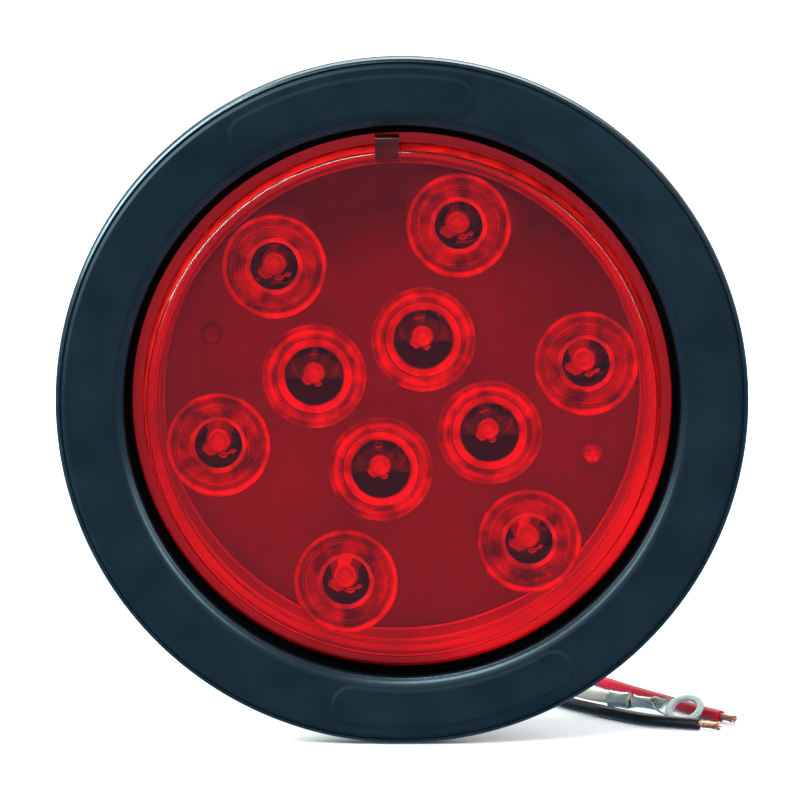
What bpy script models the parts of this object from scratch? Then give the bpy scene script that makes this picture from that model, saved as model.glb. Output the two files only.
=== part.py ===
"""Round LED stop, turn and tail lamp for a trailer, in its rubber grommet, with its plug and leads.

Metres, +Z up. The lens faces -Y. The origin is on the lamp's axis, in the plane where the grommet's
flange seats on the panel. Lengths below are in millimetres and are scaled by MM where they are used.
"""

import math

import bmesh
import bpy
from mathutils import Vector

MM = 0.001
GAP = 0.3  # between neighbouring pieces
ROUND_STEPS = 64  # facets of the large turned pieces
SMALL_STEPS = 16  # facets of pins, sleeves and diodes

# Grommet, for a 4.5 inch (114.3 mm) hole
GROMMET_R = 68.6
GROMMET_FACE_R = 66.0
GROMMET_MOUTH_R = 56.1
GROMMET_LIP_R = 53.5
GROMMET_NECK_R = 57.0
GROMMET_TAIL_R = 60.8
GROMMET_TAIL_END_R = 55.2
FLANGE_Y = -6.1
PANEL_GROOVE = 3.4
GROMMET_BACK_Y = 17.0

# Lamp body: the lens and the housing meet at WELD_Y inside the grommet's groove
LAMP_R = 54.6
LEDGE_Y = 0.3
WELD_Y = 3.3
LAMP_FLANGE_BACK_Y = 7.1
LENS_FACE_R = 50.4
LENS_STEP_R = 51.3
LENS_EDGE_Y = -7.5
LENS_DOME = 0.6
LENS_WALL = 2.0
LENS_INNER_R = LENS_FACE_R - LENS_WALL
LENS_INNER_Y = LENS_EDGE_Y + LENS_WALL
TAB_ANGLE = 93.2
TAB_WIDTH = 4.8
CUP_R = 50.4
CUP_BACK_R = 49.6
CUP_INNER_R = 47.7
CUP_LEDGE_R = 45.6
CUP_BACK_Y = 24.0
CUP_FLOOR_Y = 22.0

# Circuit board, and the two screws that hold it on posts in the cup
BOARD_Y = 9.5
BOARD_BACK_Y = 11.1
BOARD_R = CUP_INNER_R - GAP
SCREW_CIRCLE_R = 40.0
SCREW_ANGLES = (162.3, -17.7)
SCREW_SHANK_R = 1.2
SCREW_HEAD_R = 2.2
SCREW_LENGTH = 8.0
POST_R = 3.2

# Diodes and the optics in front of them; the inner ones as (angle in degrees, radius)
OUTER_CIRCLE_R = 37.2
OUTER_FIRST_ANGLE = 12.6
INNER_PLACES = ((72.0, 13.6), (162.0, 18.2), (252.0, 13.6), (342.0, 18.2))
OPTIC_R = 10.3
OPTIC_DEPTH = 1.6
OPTIC_ROOT = 0.9
OPTIC_STEPS = 20
BULGE_R = 4.6
BULGE_DEPTH = 3.6
LED_R = 2.5
LED_BASE_R = 2.9
LED_TIP_Y = 0.6

# Parts behind the board, as (x, z) places
RESISTOR_PLACES = ((-24.0, 22.0), (-8.0, 25.0), (8.0, 25.0), (24.0, 22.0))
RECTIFIER_PLACES = ((-14.0, -24.0), (14.0, -24.0))
RESISTOR_R = 1.5
RECTIFIER_R = 1.9
BODY_HALF = 3.4
LEG_HALF = 6.4
LEG_R = 0.4

# Socket, contacts and plug; the contacts' (x, z) places follow the three-pin plug
SOCKET_BACK_Y = 30.0
SOCKET_FLOOR_Y = 18.4
SOCKET_WALL = 1.7
SOCKET_HALF_X = 14.8
SOCKET_HALF_Z = 7.8
PIN_PLACES = {"ground": (-8.0, 1.5), "tail": (0.0, -2.0), "stop": (8.0, 1.5)}
PIN_R = 1.15
PIN_COLLAR_R = 1.9
PIN_TIP_Y = 27.0
SEAL_FRONT_Y = 14.7
SLEEVE_R = 2.1
SLEEVE_BORE_R = 1.45
SLEEVE_BACK_Y = 29.0
PLUG_HEAD_Y = SOCKET_BACK_Y + GAP
PLUG_BACK_Y = 41.0
PLUG_HALF_X = 17.0
PLUG_TOP_Z = 10.0
PLUG_FOOT_Z = -11.0
RELIEF_Y = 36.0  # the leads leave the plug in this plane, side by side
RELIEF_END_Z = -20.0
RELIEF_SPACING = 4.4

# Leads. Each route is (x, y, z) of the lead's middle, from the plug to its cut end
LEAD_R = 1.15
LEAD_STEP = 5.6
STRAND_R = 0.7
STRAND_LENGTH = 4.6
TOP_Z = RELIEF_END_Z - GAP
LIE_Z = -GROMMET_R + LEAD_R + 0.08  # where a lead lies level with the rim's lowest point
LEAD_ROUTES = {
    "wire_white": (
        (0.0, RELIEF_Y, TOP_Z),
        (-0.2, 36.3, -28.0),
        (-5.6, 40.4, -44.5),
        (-9.6, 48.6, -58.4),
        (-6.6, 56.6, -65.6),
        (3.0, 60.8, -67.2),
        (15.0, 59.6, -67.2),
        (24.6, 53.2, -66.8),
        (30.2, 43.6, -65.8),
        (34.0, 34.4, -65.0),
        (38.0, 28.0, -64.9),
        (42.3, 24.9, -65.1),
    ),
    "wire_black": (
        (-RELIEF_SPACING, RELIEF_Y, TOP_Z),
        (-4.8, 36.1, -28.0),
        (-12.4, 37.8, -44.6),
        (-18.0, 42.4, -59.2),
        (-13.8, 48.6, -66.5),
        (-3.0, 51.6, LIE_Z),
        (10.0, 51.2, LIE_Z),
        (21.8, 46.4, LIE_Z),
        (29.8, 37.2, LIE_Z),
        (35.6, 29.6, LIE_Z),
        (42.4, 21.7, LIE_Z),
        (50.4, 13.8, LIE_Z),
        (59.9, 9.2, LIE_Z),
    ),
    "wire_red": (
        (RELIEF_SPACING, RELIEF_Y, TOP_Z),
        (4.5, 36.6, -28.0),
        (1.8, 43.6, -43.0),
        (-0.6, 54.4, -56.2),
        (3.2, 64.0, -64.8),
        (13.6, 69.2, -67.2),
        (25.6, 69.0, LIE_Z),
        (35.8, 63.0, LIE_Z),
        (42.4, 53.4, LIE_Z),
        (48.7, 42.6, LIE_Z),
        (55.2, 32.4, LIE_Z),
        (61.2, 22.2, LIE_Z),
        (64.7, 17.4, LIE_Z),
    ),
}

# Ring terminal in its own frame: +X from the lead's end along the crimps, +Z off the ring's face
RING_START = (42.57, 24.77, -65.12)
RING_TURN = tuple(math.radians(a) for a in (33.5, 1.2, -24.8))
RING_CENTRE_X = 16.2
RING_PLANE_Z = -0.7
RING_R = 3.9
RING_HOLE_R = 2.55
RING_T = 0.8
GRIP_R = 1.8
GRIP_END_X = 4.9
BARREL_R = 1.4
BARREL_END_X = 9.6
NECK_END_X = 13.6
NECK_HALF = 1.9


def clear_scene():
    for old in list(bpy.data.objects):
        bpy.data.objects.remove(old)


def new_collection(name):
    made = bpy.data.collections.new(name)
    bpy.context.scene.collection.children.link(made)
    return made


clear_scene()
PARTS = new_collection("trailer_tail_light")
CUTTERS = new_collection("cutters")


def material(name, colour, roughness, metallic=0.0):
    made = bpy.data.materials.new(name)
    made.use_nodes = True
    shader = made.node_tree.nodes["Principled BSDF"]
    shader.inputs["Base Color"].default_value = (*colour, 1.0)
    shader.inputs["Roughness"].default_value = roughness
    shader.inputs["Metallic"].default_value = metallic
    return made


RUBBER = material("black rubber", (0.018, 0.026, 0.032), 0.62)
RED_ACRYLIC = material("red acrylic", (0.55, 0.01, 0.015), 0.08)
GREY_PLASTIC = material("grey housing plastic", (0.62, 0.60, 0.58), 0.45)
BOARD_GREEN = material("board laminate", (0.05, 0.16, 0.08), 0.5)
CLEAR_EPOXY = material("diode epoxy", (0.75, 0.74, 0.72), 0.12)
STEEL = material("zinc plated steel", (0.62, 0.62, 0.60), 0.32, 1.0)
BRASS = material("tinned brass", (0.72, 0.68, 0.52), 0.3, 1.0)
RESIN = material("sealing resin", (0.09, 0.09, 0.10), 0.35)
RESISTOR_COAT = material("resistor coat", (0.55, 0.42, 0.28), 0.45)
DIODE_BLACK = material("rectifier epoxy", (0.03, 0.03, 0.03), 0.4)
PLUG_PLASTIC = material("plug thermoplastic", (0.03, 0.03, 0.032), 0.5)
COPPER = material("bare copper", (0.80, 0.42, 0.26), 0.3, 1.0)
TIN = material("tinned copper", (0.66, 0.69, 0.67), 0.28, 1.0)
INSULATION = {
    "wire_white": material("white insulation", (0.75, 0.74, 0.66), 0.45),
    "wire_black": material("black insulation", (0.02, 0.02, 0.022), 0.45),
    "wire_red": material("red insulation", (0.60, 0.02, 0.03), 0.45),
}


def add_object(name, data, surface):
    """An object for a part. With no surface it is a cutter or a shape to be joined, which isn't rendered."""
    made = bpy.data.objects.new(name, data)
    if surface:
        PARTS.objects.link(made)
        data.materials.append(surface)
    else:
        CUTTERS.objects.link(made)
        made.hide_render = True
        made.display_type = "WIRE"
    return made


def mesh_of(name, shape):
    """The mesh of a bmesh, which is then freed, with its round faces shaded smooth."""
    mesh = bpy.data.meshes.new(name)
    shape.to_mesh(mesh)
    shape.free()
    mesh.shade_smooth()
    mesh.set_sharp_from_angle(angle=math.radians(35))
    return mesh


def turned(name, profile, steps, surface=None, at=(0.0, 0.0)):
    """A solid turned about a line along Y through (x, z), from (radius, y) points.

    The points run front to back on the outer side. A profile that starts and ends off the axis is a ring.
    """
    shape = bmesh.new()
    points = [shape.verts.new((radius * MM, 0.0, -y * MM)) for radius, y in profile]
    for first, second in zip(points, points[1:]):
        shape.edges.new((first, second))
    if profile[0][0] > 0:
        shape.edges.new((points[-1], points[0]))
    made = add_object(name, mesh_of(name, shape), surface)
    made.location = (at[0] * MM, 0.0, at[1] * MM)
    made.rotation_euler = (math.pi / 2, 0.0, 0.0)
    screw = made.modifiers.new("turn", "SCREW")
    screw.steps = steps
    screw.render_steps = steps
    screw.use_merge_vertices = True
    screw.merge_threshold = 0.00001
    return made


def block(name, low, high, corner_r, surface=None):
    """A box from its low to its high corner, with the four edges along Y rounded."""
    size = Vector(high) - Vector(low)
    shape = bmesh.new()
    bmesh.ops.create_cube(shape, size=1.0)
    bmesh.ops.scale(shape, vec=size * MM, verts=shape.verts)
    long_edges = [e for e in shape.edges if abs(e.verts[0].co.y - e.verts[1].co.y) > MM * size.y / 2]
    bmesh.ops.bevel(shape, geom=long_edges, offset=corner_r * MM, segments=4, profile=0.5, affect="EDGES")
    made = add_object(name, mesh_of(name, shape), surface)
    made.location = (Vector(low) + Vector(high)) * MM / 2
    return made


def rod(name, start, end, radius, end_radius=None, surface=None, steps=SMALL_STEPS):
    """A round bar between two points, tapered if it has an end radius."""
    run = (Vector(end) - Vector(start)) * MM
    last = end_radius or radius
    shape = bmesh.new()
    bmesh.ops.create_cone(
        shape, cap_ends=True, segments=steps, radius1=radius * MM, radius2=last * MM, depth=run.length
    )
    made = add_object(name, mesh_of(name, shape), surface)
    made.location = (Vector(start) + Vector(end)) * MM / 2
    made.rotation_euler = run.to_track_quat("Z", "Y").to_euler()
    return made


def soften(made, width):
    """Rounds the edges of a plain shape before anything is joined to it."""
    bevel = made.modifiers.new("soft_edges", "BEVEL")
    bevel.width = width * MM
    bevel.segments = 2
    bevel.limit_method = "ANGLE"


def combine(target, tool, operation):
    step = target.modifiers.new(tool.name, "BOOLEAN")
    step.operation = operation
    step.object = tool


def polar(angle, radius):
    """(x, z) at an angle anticlockwise from +X, as seen from the front."""
    turn = math.radians(angle)
    return radius * math.cos(turn), radius * math.sin(turn)


def diode_places():
    outer = [polar(OUTER_FIRST_ANGLE + 60 * i, OUTER_CIRCLE_R) for i in range(6)]
    return outer + [polar(angle, radius) for angle, radius in INNER_PLACES]


def screw_places():
    return [polar(angle, SCREW_CIRCLE_R) for angle in SCREW_ANGLES]


def make_grommet():
    profile = [
        (GROMMET_LIP_R, LEDGE_Y - GAP - 0.9),
        (GROMMET_MOUTH_R - 0.2, FLANGE_Y + 1.3),
        (GROMMET_MOUTH_R + 0.4, FLANGE_Y + 0.8),
        (GROMMET_FACE_R, FLANGE_Y),
        (GROMMET_FACE_R + 1.2, FLANGE_Y + 0.4),
        (GROMMET_R - 0.5, FLANGE_Y + 1.7),
        (GROMMET_R, FLANGE_Y + 3.3),
        (GROMMET_R, -1.1),
        (GROMMET_R - 0.5, -0.3),
        (GROMMET_R - 1.2, 0.0),
        (GROMMET_NECK_R, 0.0),
        (GROMMET_NECK_R, PANEL_GROOVE),
        (GROMMET_TAIL_R - 0.4, PANEL_GROOVE),
        (GROMMET_TAIL_R, PANEL_GROOVE + 0.8),
        (GROMMET_TAIL_R - 0.6, PANEL_GROOVE + 2.4),
        (GROMMET_TAIL_END_R + 1.0, GROMMET_BACK_Y - 1.0),
        (GROMMET_TAIL_END_R, GROMMET_BACK_Y),
        (CUP_R + 2.0, GROMMET_BACK_Y),
        (CUP_R + 0.6, GROMMET_BACK_Y - 2.2),
        (CUP_R + 0.6, LAMP_FLANGE_BACK_Y + GAP),
        (LAMP_R + GAP, LAMP_FLANGE_BACK_Y + GAP),
        (LAMP_R + GAP, LEDGE_Y - GAP),
        (GROMMET_LIP_R, LEDGE_Y - GAP),
    ]
    turned("grommet", profile, ROUND_STEPS, RUBBER)


def make_lens():
    profile = [
        (0.0, LENS_EDGE_Y - LENS_DOME),
        (LENS_FACE_R / 2, LENS_EDGE_Y - LENS_DOME * 0.75),
        (LENS_FACE_R - 0.8, LENS_EDGE_Y),
        (LENS_FACE_R, LENS_EDGE_Y + 0.6),
        (LENS_STEP_R, LEDGE_Y - 0.5),
        (LENS_STEP_R + 0.5, LEDGE_Y),
        (LAMP_R - 0.4, LEDGE_Y),
        (LAMP_R, LEDGE_Y + 0.4),
        (LAMP_R, WELD_Y),
        (LENS_INNER_R + 0.6, WELD_Y),
        (LENS_INNER_R, LENS_INNER_Y + 0.6),
        (LENS_INNER_R - 0.6, LENS_INNER_Y),
        (0.0, LENS_INNER_Y - 0.2),
    ]
    lens = turned("lens", profile, ROUND_STEPS, RED_ACRYLIC)
    tab_x, tab_z = polar(TAB_ANGLE, GROMMET_LIP_R - 0.4)
    tab = block(
        "index_tab",
        (tab_x - TAB_WIDTH / 2, LENS_EDGE_Y - 0.2, tab_z - TAB_WIDTH + 0.5),
        (tab_x + TAB_WIDTH / 2, LEDGE_Y + 1.0, tab_z),
        0.3,
    )
    combine(lens, tab, "UNION")
    ring_back = LENS_INNER_Y + OPTIC_DEPTH
    optic_profile = [
        (0.0, LENS_INNER_Y - OPTIC_ROOT),
        (OPTIC_R, LENS_INNER_Y - OPTIC_ROOT),
        (OPTIC_R, ring_back),
        (BULGE_R, ring_back),
        (BULGE_R - 1.4, LENS_INNER_Y + BULGE_DEPTH),
        (0.0, LENS_INNER_Y + BULGE_DEPTH),
    ]
    for number, place in enumerate(diode_places(), 1):
        combine(lens, turned(f"optic_{number}", optic_profile, OPTIC_STEPS, at=place), "UNION")


def make_housing():
    ledge_y = BOARD_BACK_Y + GAP
    profile = [
        (0.0, CUP_FLOOR_Y),
        (CUP_LEDGE_R, CUP_FLOOR_Y),
        (CUP_LEDGE_R, ledge_y),
        (CUP_INNER_R, ledge_y),
        (CUP_INNER_R, BOARD_Y - 0.4),
        (LENS_INNER_R + 0.6, WELD_Y + GAP),
        (LAMP_R, WELD_Y + GAP),
        (LAMP_R, LAMP_FLANGE_BACK_Y - 0.4),
        (LAMP_R - 0.4, LAMP_FLANGE_BACK_Y),
        (CUP_R, LAMP_FLANGE_BACK_Y),
        (CUP_BACK_R, CUP_BACK_Y - 1.6),
        (CUP_BACK_R - 1.6, CUP_BACK_Y),
        (0.0, CUP_BACK_Y),
    ]
    housing = turned("housing", profile, ROUND_STEPS, GREY_PLASTIC)
    shell = block(
        "socket_shell",
        (-SOCKET_HALF_X - SOCKET_WALL, SOCKET_FLOOR_Y - SOCKET_WALL, -SOCKET_HALF_Z - SOCKET_WALL),
        (SOCKET_HALF_X + SOCKET_WALL, SOCKET_BACK_Y, SOCKET_HALF_Z + SOCKET_WALL),
        4.2,
    )
    combine(housing, shell, "UNION")
    well = block(
        "socket_well",
        (-SOCKET_HALF_X, SOCKET_FLOOR_Y, -SOCKET_HALF_Z),
        (SOCKET_HALF_X, SOCKET_BACK_Y + 2.0, SOCKET_HALF_Z),
        2.6,
    )
    combine(housing, well, "DIFFERENCE")
    for name, (x, z) in PIN_PLACES.items():
        low = (x, SOCKET_FLOOR_Y - 4.0, z)
        high = (x, SOCKET_FLOOR_Y + 2.0, z)
        combine(housing, rod(f"{name}_hole", low, high, PIN_R + GAP), "DIFFERENCE")
    for number, (x, z) in enumerate(screw_places(), 1):
        post = rod(f"post_{number}", (x, ledge_y, z), (x, CUP_FLOOR_Y + 0.8, z), POST_R)
        combine(housing, post, "UNION")
        bottom = (x, ledge_y + SCREW_LENGTH, z)
        hole = rod(f"post_hole_{number}", (x, ledge_y - 2.0, z), bottom, SCREW_SHANK_R + GAP)
        combine(housing, hole, "DIFFERENCE")


def make_board():
    profile = [(0.0, BOARD_Y), (BOARD_R, BOARD_Y), (BOARD_R, BOARD_BACK_Y), (0.0, BOARD_BACK_Y)]
    board = turned("circuit_board", profile, ROUND_STEPS, BOARD_GREEN)
    for number, (x, z) in enumerate(screw_places(), 1):
        hole = rod(
            f"board_hole_{number}",
            (x, BOARD_Y - 1.0, z),
            (x, BOARD_BACK_Y + 1.0, z),
            SCREW_SHANK_R + GAP,
        )
        combine(board, hole, "DIFFERENCE")
    head_y = BOARD_Y - GAP
    screw_profile = [
        (0.0, head_y - 1.5),
        (SCREW_HEAD_R - 0.7, head_y - 1.3),
        (SCREW_HEAD_R, head_y - 0.5),
        (SCREW_HEAD_R, head_y),
        (SCREW_SHANK_R, head_y),
        (SCREW_SHANK_R, head_y + SCREW_LENGTH),
        (0.0, head_y + SCREW_LENGTH + 1.0),
    ]
    for number, place in enumerate(screw_places(), 1):
        turned(f"board_screw_{number}", screw_profile, SMALL_STEPS, STEEL, at=place)


def make_leds():
    base_y = BOARD_Y - GAP
    dome_y = LED_TIP_Y + LED_R
    dome = [(LED_R * math.sin(a), dome_y - LED_R * math.cos(a)) for a in (0.0, 0.7, math.pi / 2)]
    profile = dome + [
        (LED_R, base_y - 1.0),
        (LED_BASE_R, base_y - 1.0),
        (LED_BASE_R, base_y),
        (0.0, base_y),
    ]
    for number, place in enumerate(diode_places(), 1):
        turned(f"led_{number:02d}", profile, SMALL_STEPS, CLEAR_EPOXY, at=place)


def axial_part(name, place, body_r, surface):
    """A round component lying behind the board with its legs along X."""
    profile = [
        (0.0, -LEG_HALF),
        (LEG_R, -LEG_HALF),
        (LEG_R, -BODY_HALF),
        (body_r, -BODY_HALF + 0.3),
        (body_r, BODY_HALF - 0.3),
        (LEG_R, BODY_HALF),
        (LEG_R, LEG_HALF),
        (0.0, LEG_HALF),
    ]
    made = turned(name, profile, 12, surface)
    made.rotation_euler = (math.pi / 2, 0.0, math.pi / 2)
    made.location = Vector((place[0], BOARD_BACK_Y + GAP + body_r, place[1])) * MM


def make_board_parts():
    for number, place in enumerate(RESISTOR_PLACES, 1):
        axial_part(f"resistor_{number}", place, RESISTOR_R, RESISTOR_COAT)
    for number, place in enumerate(RECTIFIER_PLACES, 1):
        axial_part(f"rectifier_{number}", place, RECTIFIER_R, DIODE_BLACK)


def make_contacts():
    start = BOARD_BACK_Y + GAP
    profile = [
        (0.0, start),
        (PIN_R, start),
        (PIN_R, SEAL_FRONT_Y - 2.0),
        (PIN_COLLAR_R, SEAL_FRONT_Y - 2.0),
        (PIN_COLLAR_R, SEAL_FRONT_Y - GAP),
        (PIN_R, SEAL_FRONT_Y - GAP),
        (PIN_R, PIN_TIP_Y - 0.9),
        (PIN_R / 2, PIN_TIP_Y),
        (0.0, PIN_TIP_Y),
    ]
    seal = block(
        "contact_seal",
        (-13.0, SEAL_FRONT_Y, -6.5),
        (13.0, SOCKET_FLOOR_Y - SOCKET_WALL - GAP, 6.0),
        3.0,
        RESIN,
    )
    for name, (x, z) in PIN_PLACES.items():
        turned(f"contact_{name}", profile, SMALL_STEPS, BRASS, at=(x, z))
        hole = rod(
            f"seal_hole_{name}",
            (x, SEAL_FRONT_Y - 2.0, z),
            (x, SOCKET_FLOOR_Y, z),
            PIN_R + GAP,
        )
        combine(seal, hole, "DIFFERENCE")


def make_plug():
    nose_x = SOCKET_HALF_X - GAP
    nose_z = SOCKET_HALF_Z - GAP
    plug = block(
        "plug_body",
        (-PLUG_HALF_X, PLUG_HEAD_Y, PLUG_FOOT_Z),
        (PLUG_HALF_X, PLUG_BACK_Y, PLUG_TOP_Z),
        3.6,
        PLUG_PLASTIC,
    )
    soften(plug, 1.0)
    nose = block(
        "plug_nose",
        (-nose_x, SOCKET_FLOOR_Y + GAP, -nose_z),
        (nose_x, PLUG_HEAD_Y + 2.0, nose_z),
        2.5,
    )
    combine(plug, nose, "UNION")
    for number in (-1, 0, 1):
        x = number * RELIEF_SPACING
        relief = rod(
            f"relief_{number + 2}",
            (x, RELIEF_Y, PLUG_FOOT_Z + 3.0),
            (x, RELIEF_Y, RELIEF_END_Z),
            2.7,
            end_radius=1.9,
        )
        combine(plug, relief, "UNION")
    sleeve = [
        (0.0, SLEEVE_BACK_Y - 0.8),
        (SLEEVE_BORE_R, SLEEVE_BACK_Y - 0.8),
        (SLEEVE_BORE_R, SOCKET_FLOOR_Y + 1.0),
        (SLEEVE_R, SOCKET_FLOOR_Y + 1.0),
        (SLEEVE_R, SLEEVE_BACK_Y),
        (0.0, SLEEVE_BACK_Y),
    ]
    for name, (x, z) in PIN_PLACES.items():
        bore = rod(
            f"sleeve_bore_{name}",
            (x, SOCKET_FLOOR_Y - 2.0, z),
            (x, SLEEVE_BACK_Y + GAP, z),
            SLEEVE_R + GAP,
        )
        combine(plug, bore, "DIFFERENCE")
        turned(f"terminal_{name}", sleeve, SMALL_STEPS, BRASS, at=(x, z))


def smooth_route(route, spacing):
    """Points about this far apart on a centripetal Catmull-Rom curve through the route's points."""
    knots = [Vector(p) for p in route]
    knots = [2 * knots[0] - knots[1]] + knots + [2 * knots[-1] - knots[-2]]
    fine = []
    for p0, p1, p2, p3 in zip(knots, knots[1:], knots[2:], knots[3:]):
        t1 = (p1 - p0).length ** 0.5
        t2 = t1 + (p2 - p1).length ** 0.5
        t3 = t2 + (p3 - p2).length ** 0.5
        for i in range(20):
            t = t1 + (t2 - t1) * i / 20
            a1 = p0.lerp(p1, t / t1)
            a2 = p1.lerp(p2, (t - t1) / (t2 - t1))
            a3 = p2.lerp(p3, (t - t2) / (t3 - t2))
            b1 = a1.lerp(a2, t / t2)
            b2 = a2.lerp(a3, (t - t1) / (t3 - t1))
            fine.append(b1.lerp(b2, (t - t1) / (t2 - t1)))
    fine.append(knots[-2])
    lengths = [0.0]
    for first, second in zip(fine, fine[1:]):
        lengths.append(lengths[-1] + (second - first).length)
    count = max(2, round(lengths[-1] / spacing))
    points = []
    for i in range(count + 1):
        wanted = lengths[-1] * i / count
        at = next(k for k, run in enumerate(lengths) if run >= wanted - 1e-9)
        before = max(at - 1, 0)
        part = (wanted - lengths[before]) / max(lengths[at] - lengths[before], 1e-9)
        points.append(fine[before].lerp(fine[at], part))
    return points, lengths[-1]


def tube(name, points, radius, surface):
    curve = bpy.data.curves.new(name, "CURVE")
    curve.dimensions = "3D"
    curve.bevel_depth = radius * MM
    curve.bevel_resolution = 2
    curve.use_fill_caps = True
    spline = curve.splines.new("POLY")
    spline.points.add(len(points) - 1)
    for target, point in zip(spline.points, points):
        target.co = (*(point * MM), 1.0)
    return add_object(name, curve, surface)


def make_leads():
    for name, route in LEAD_ROUTES.items():
        points, length = smooth_route(route, LEAD_STEP)
        tube(name, points, LEAD_R, INSULATION[name])
        print(f"{name} is {length:.1f} mm long")
        if name != "wire_white":
            onward = (points[-1] - points[-2]).normalized()
            start = points[-1] + onward * GAP
            colour = name.removeprefix("wire_")
            end = start + onward * STRAND_LENGTH
            rod(f"strands_{colour}", start, end, STRAND_R, surface=COPPER, steps=8)


def make_ring_terminal():
    low = RING_PLANE_Z - RING_T / 2
    high = RING_PLANE_Z + RING_T / 2
    under = (RING_CENTRE_X, 0, low)
    over = (RING_CENTRE_X, 0, high)
    terminal = rod("ring_terminal", (0, 0, 0), (GRIP_END_X, 0, 0), GRIP_R, surface=TIN, steps=12)
    barrel = rod("barrel", (GRIP_END_X - 0.5, 0, 0), (BARREL_END_X, 0, 0), BARREL_R, steps=12)
    neck = block("neck", (BARREL_END_X - 1.6, -NECK_HALF, low), (NECK_END_X, NECK_HALF, high), 0.1)
    ring = rod("ring", under, over, RING_R, steps=32)
    hole = rod("ring_hole", (RING_CENTRE_X, 0, low - 2), (RING_CENTRE_X, 0, high + 2), RING_HOLE_R, steps=32)
    frame = bpy.data.objects.new("ring_terminal_frame", None)
    PARTS.objects.link(frame)
    for made in (terminal, barrel, neck, ring, hole):
        made.parent = frame
    frame.location = Vector(RING_START) * MM
    frame.rotation_euler = RING_TURN
    for shape in (barrel, neck, ring):
        combine(terminal, shape, "UNION")
    combine(terminal, hole, "DIFFERENCE")


make_grommet()
make_lens()
make_housing()
make_board()
make_leds()
make_board_parts()
make_contacts()
make_plug()
make_leads()
make_ring_terminal()
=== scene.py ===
import math
import random

import bmesh
import bpy
from mathutils import Euler, Matrix, Vector


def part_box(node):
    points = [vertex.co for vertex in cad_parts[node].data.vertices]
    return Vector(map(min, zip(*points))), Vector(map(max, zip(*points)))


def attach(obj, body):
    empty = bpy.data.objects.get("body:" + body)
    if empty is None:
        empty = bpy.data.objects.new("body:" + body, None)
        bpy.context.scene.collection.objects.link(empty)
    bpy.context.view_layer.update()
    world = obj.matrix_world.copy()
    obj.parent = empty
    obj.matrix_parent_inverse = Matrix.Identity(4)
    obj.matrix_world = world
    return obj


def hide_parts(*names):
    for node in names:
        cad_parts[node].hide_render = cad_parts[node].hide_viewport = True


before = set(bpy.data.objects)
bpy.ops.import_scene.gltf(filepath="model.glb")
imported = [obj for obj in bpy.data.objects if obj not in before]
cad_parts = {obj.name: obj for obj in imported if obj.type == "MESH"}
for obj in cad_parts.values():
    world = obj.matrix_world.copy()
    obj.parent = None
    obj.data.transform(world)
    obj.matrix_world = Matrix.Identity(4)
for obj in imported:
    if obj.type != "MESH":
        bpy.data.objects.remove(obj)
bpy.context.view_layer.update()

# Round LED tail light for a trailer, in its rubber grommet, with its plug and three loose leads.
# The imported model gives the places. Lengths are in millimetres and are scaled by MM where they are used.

MM = 0.001
ARC_STEP = 12.0  # degrees of turn for each facet of a rounded corner

CAMERA_DISTANCE = 1200.0
CAMERA_ELEVATION = 8.3
CAMERA_AIM = (-0.4, -2.75, 0.4)
VIEW_WIDTH = 158.4  # what the frame spans at the camera's distance
SENSOR_WIDTH = 36.0
SKY_ABOVE = (0.58, 0.60, 0.62)
SKY_BELOW = (0.15, 0.32, 0.50)  # what the polished faces reflect: the dim side of the studio
BACKDROP = (0.94, 0.95, 0.96)  # what the camera sees past the floor's edge
# In metres and watts: (name, place, aim, size, power, colour)
SOFTBOXES = (
    ("key", (-0.40, -0.95, 1.35), (0.0, 0.0, 0.0), (0.9, 0.7), 31.0, (1.0, 1.0, 1.0)),
    ("strip_0", (-0.95, -0.87, 0.55), (0.0, 0.0, 0.0), (0.3, 0.9), 7.0, (1.0, 1.0, 1.0)),
    ("strip_2", (0.95, -0.87, 0.55), (0.0, 0.0, 0.0), (0.3, 0.9), 7.0, (1.0, 1.0, 1.0)),
    ("sweep", (0.1, 1.8, 1.5), (0.05, 2.0, 0.0), (2.4, 1.6), 65.0, (0.96, 0.99, 1.0)),
    ("rim", (-0.85, -0.08, 0.7), (-0.03, 0.0, 0.03), (0.35, 0.9), 28.0, (0.9, 1.0, 0.97)),
)


def box_mm(node):
    low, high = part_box(node)
    return low / MM, high / MM


def middle(node):
    low, high = box_mm(node)
    return (low + high) / 2


def axis_of(node):
    """(x, z) of the line along Y through the node's middle."""
    return middle(node).x, middle(node).z


GROMMET_LOW, GROMMET_HIGH = box_mm("grommet")
LENS_LOW = box_mm("lens")[0]
HOUSING_HIGH = box_mm("housing")[1]
BOARD_LOW, BOARD_HIGH = box_mm("circuit_board")
PLUG_LOW, PLUG_HIGH = box_mm("plug_body")
LED_LOW, LED_HIGH = box_mm("led_01")
LEDS = [f"led_{number:02d}" for number in range(1, 11)]
OUTER_LEDS = LEDS[:6]
SCREWS = ("board_screw_1", "board_screw_2")
PIN_NAMES = ("ground", "tail", "stop")
PINS = [f"contact_{name}" for name in PIN_NAMES]

# Grommet
GROMMET_R = GROMMET_HIGH.x
FLANGE_Y = GROMMET_LOW.y
GROMMET_BACK_Y = GROMMET_HIGH.y
MOUTH_R = 55.0
FACE_START_R = 57.2
FACE_END_R = 65.6
FACE_SLOPE = -0.075  # the flange's face rises towards its rim
PAD_ANGLES = (100.0, 280.0)
PAD_HALF_SPAN = 19.5
PAD_R = 61.4
PAD_HALF_WIDTH = 3.7
PAD_HEIGHT = 0.28
PAD_EDGE = 0.5

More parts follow.
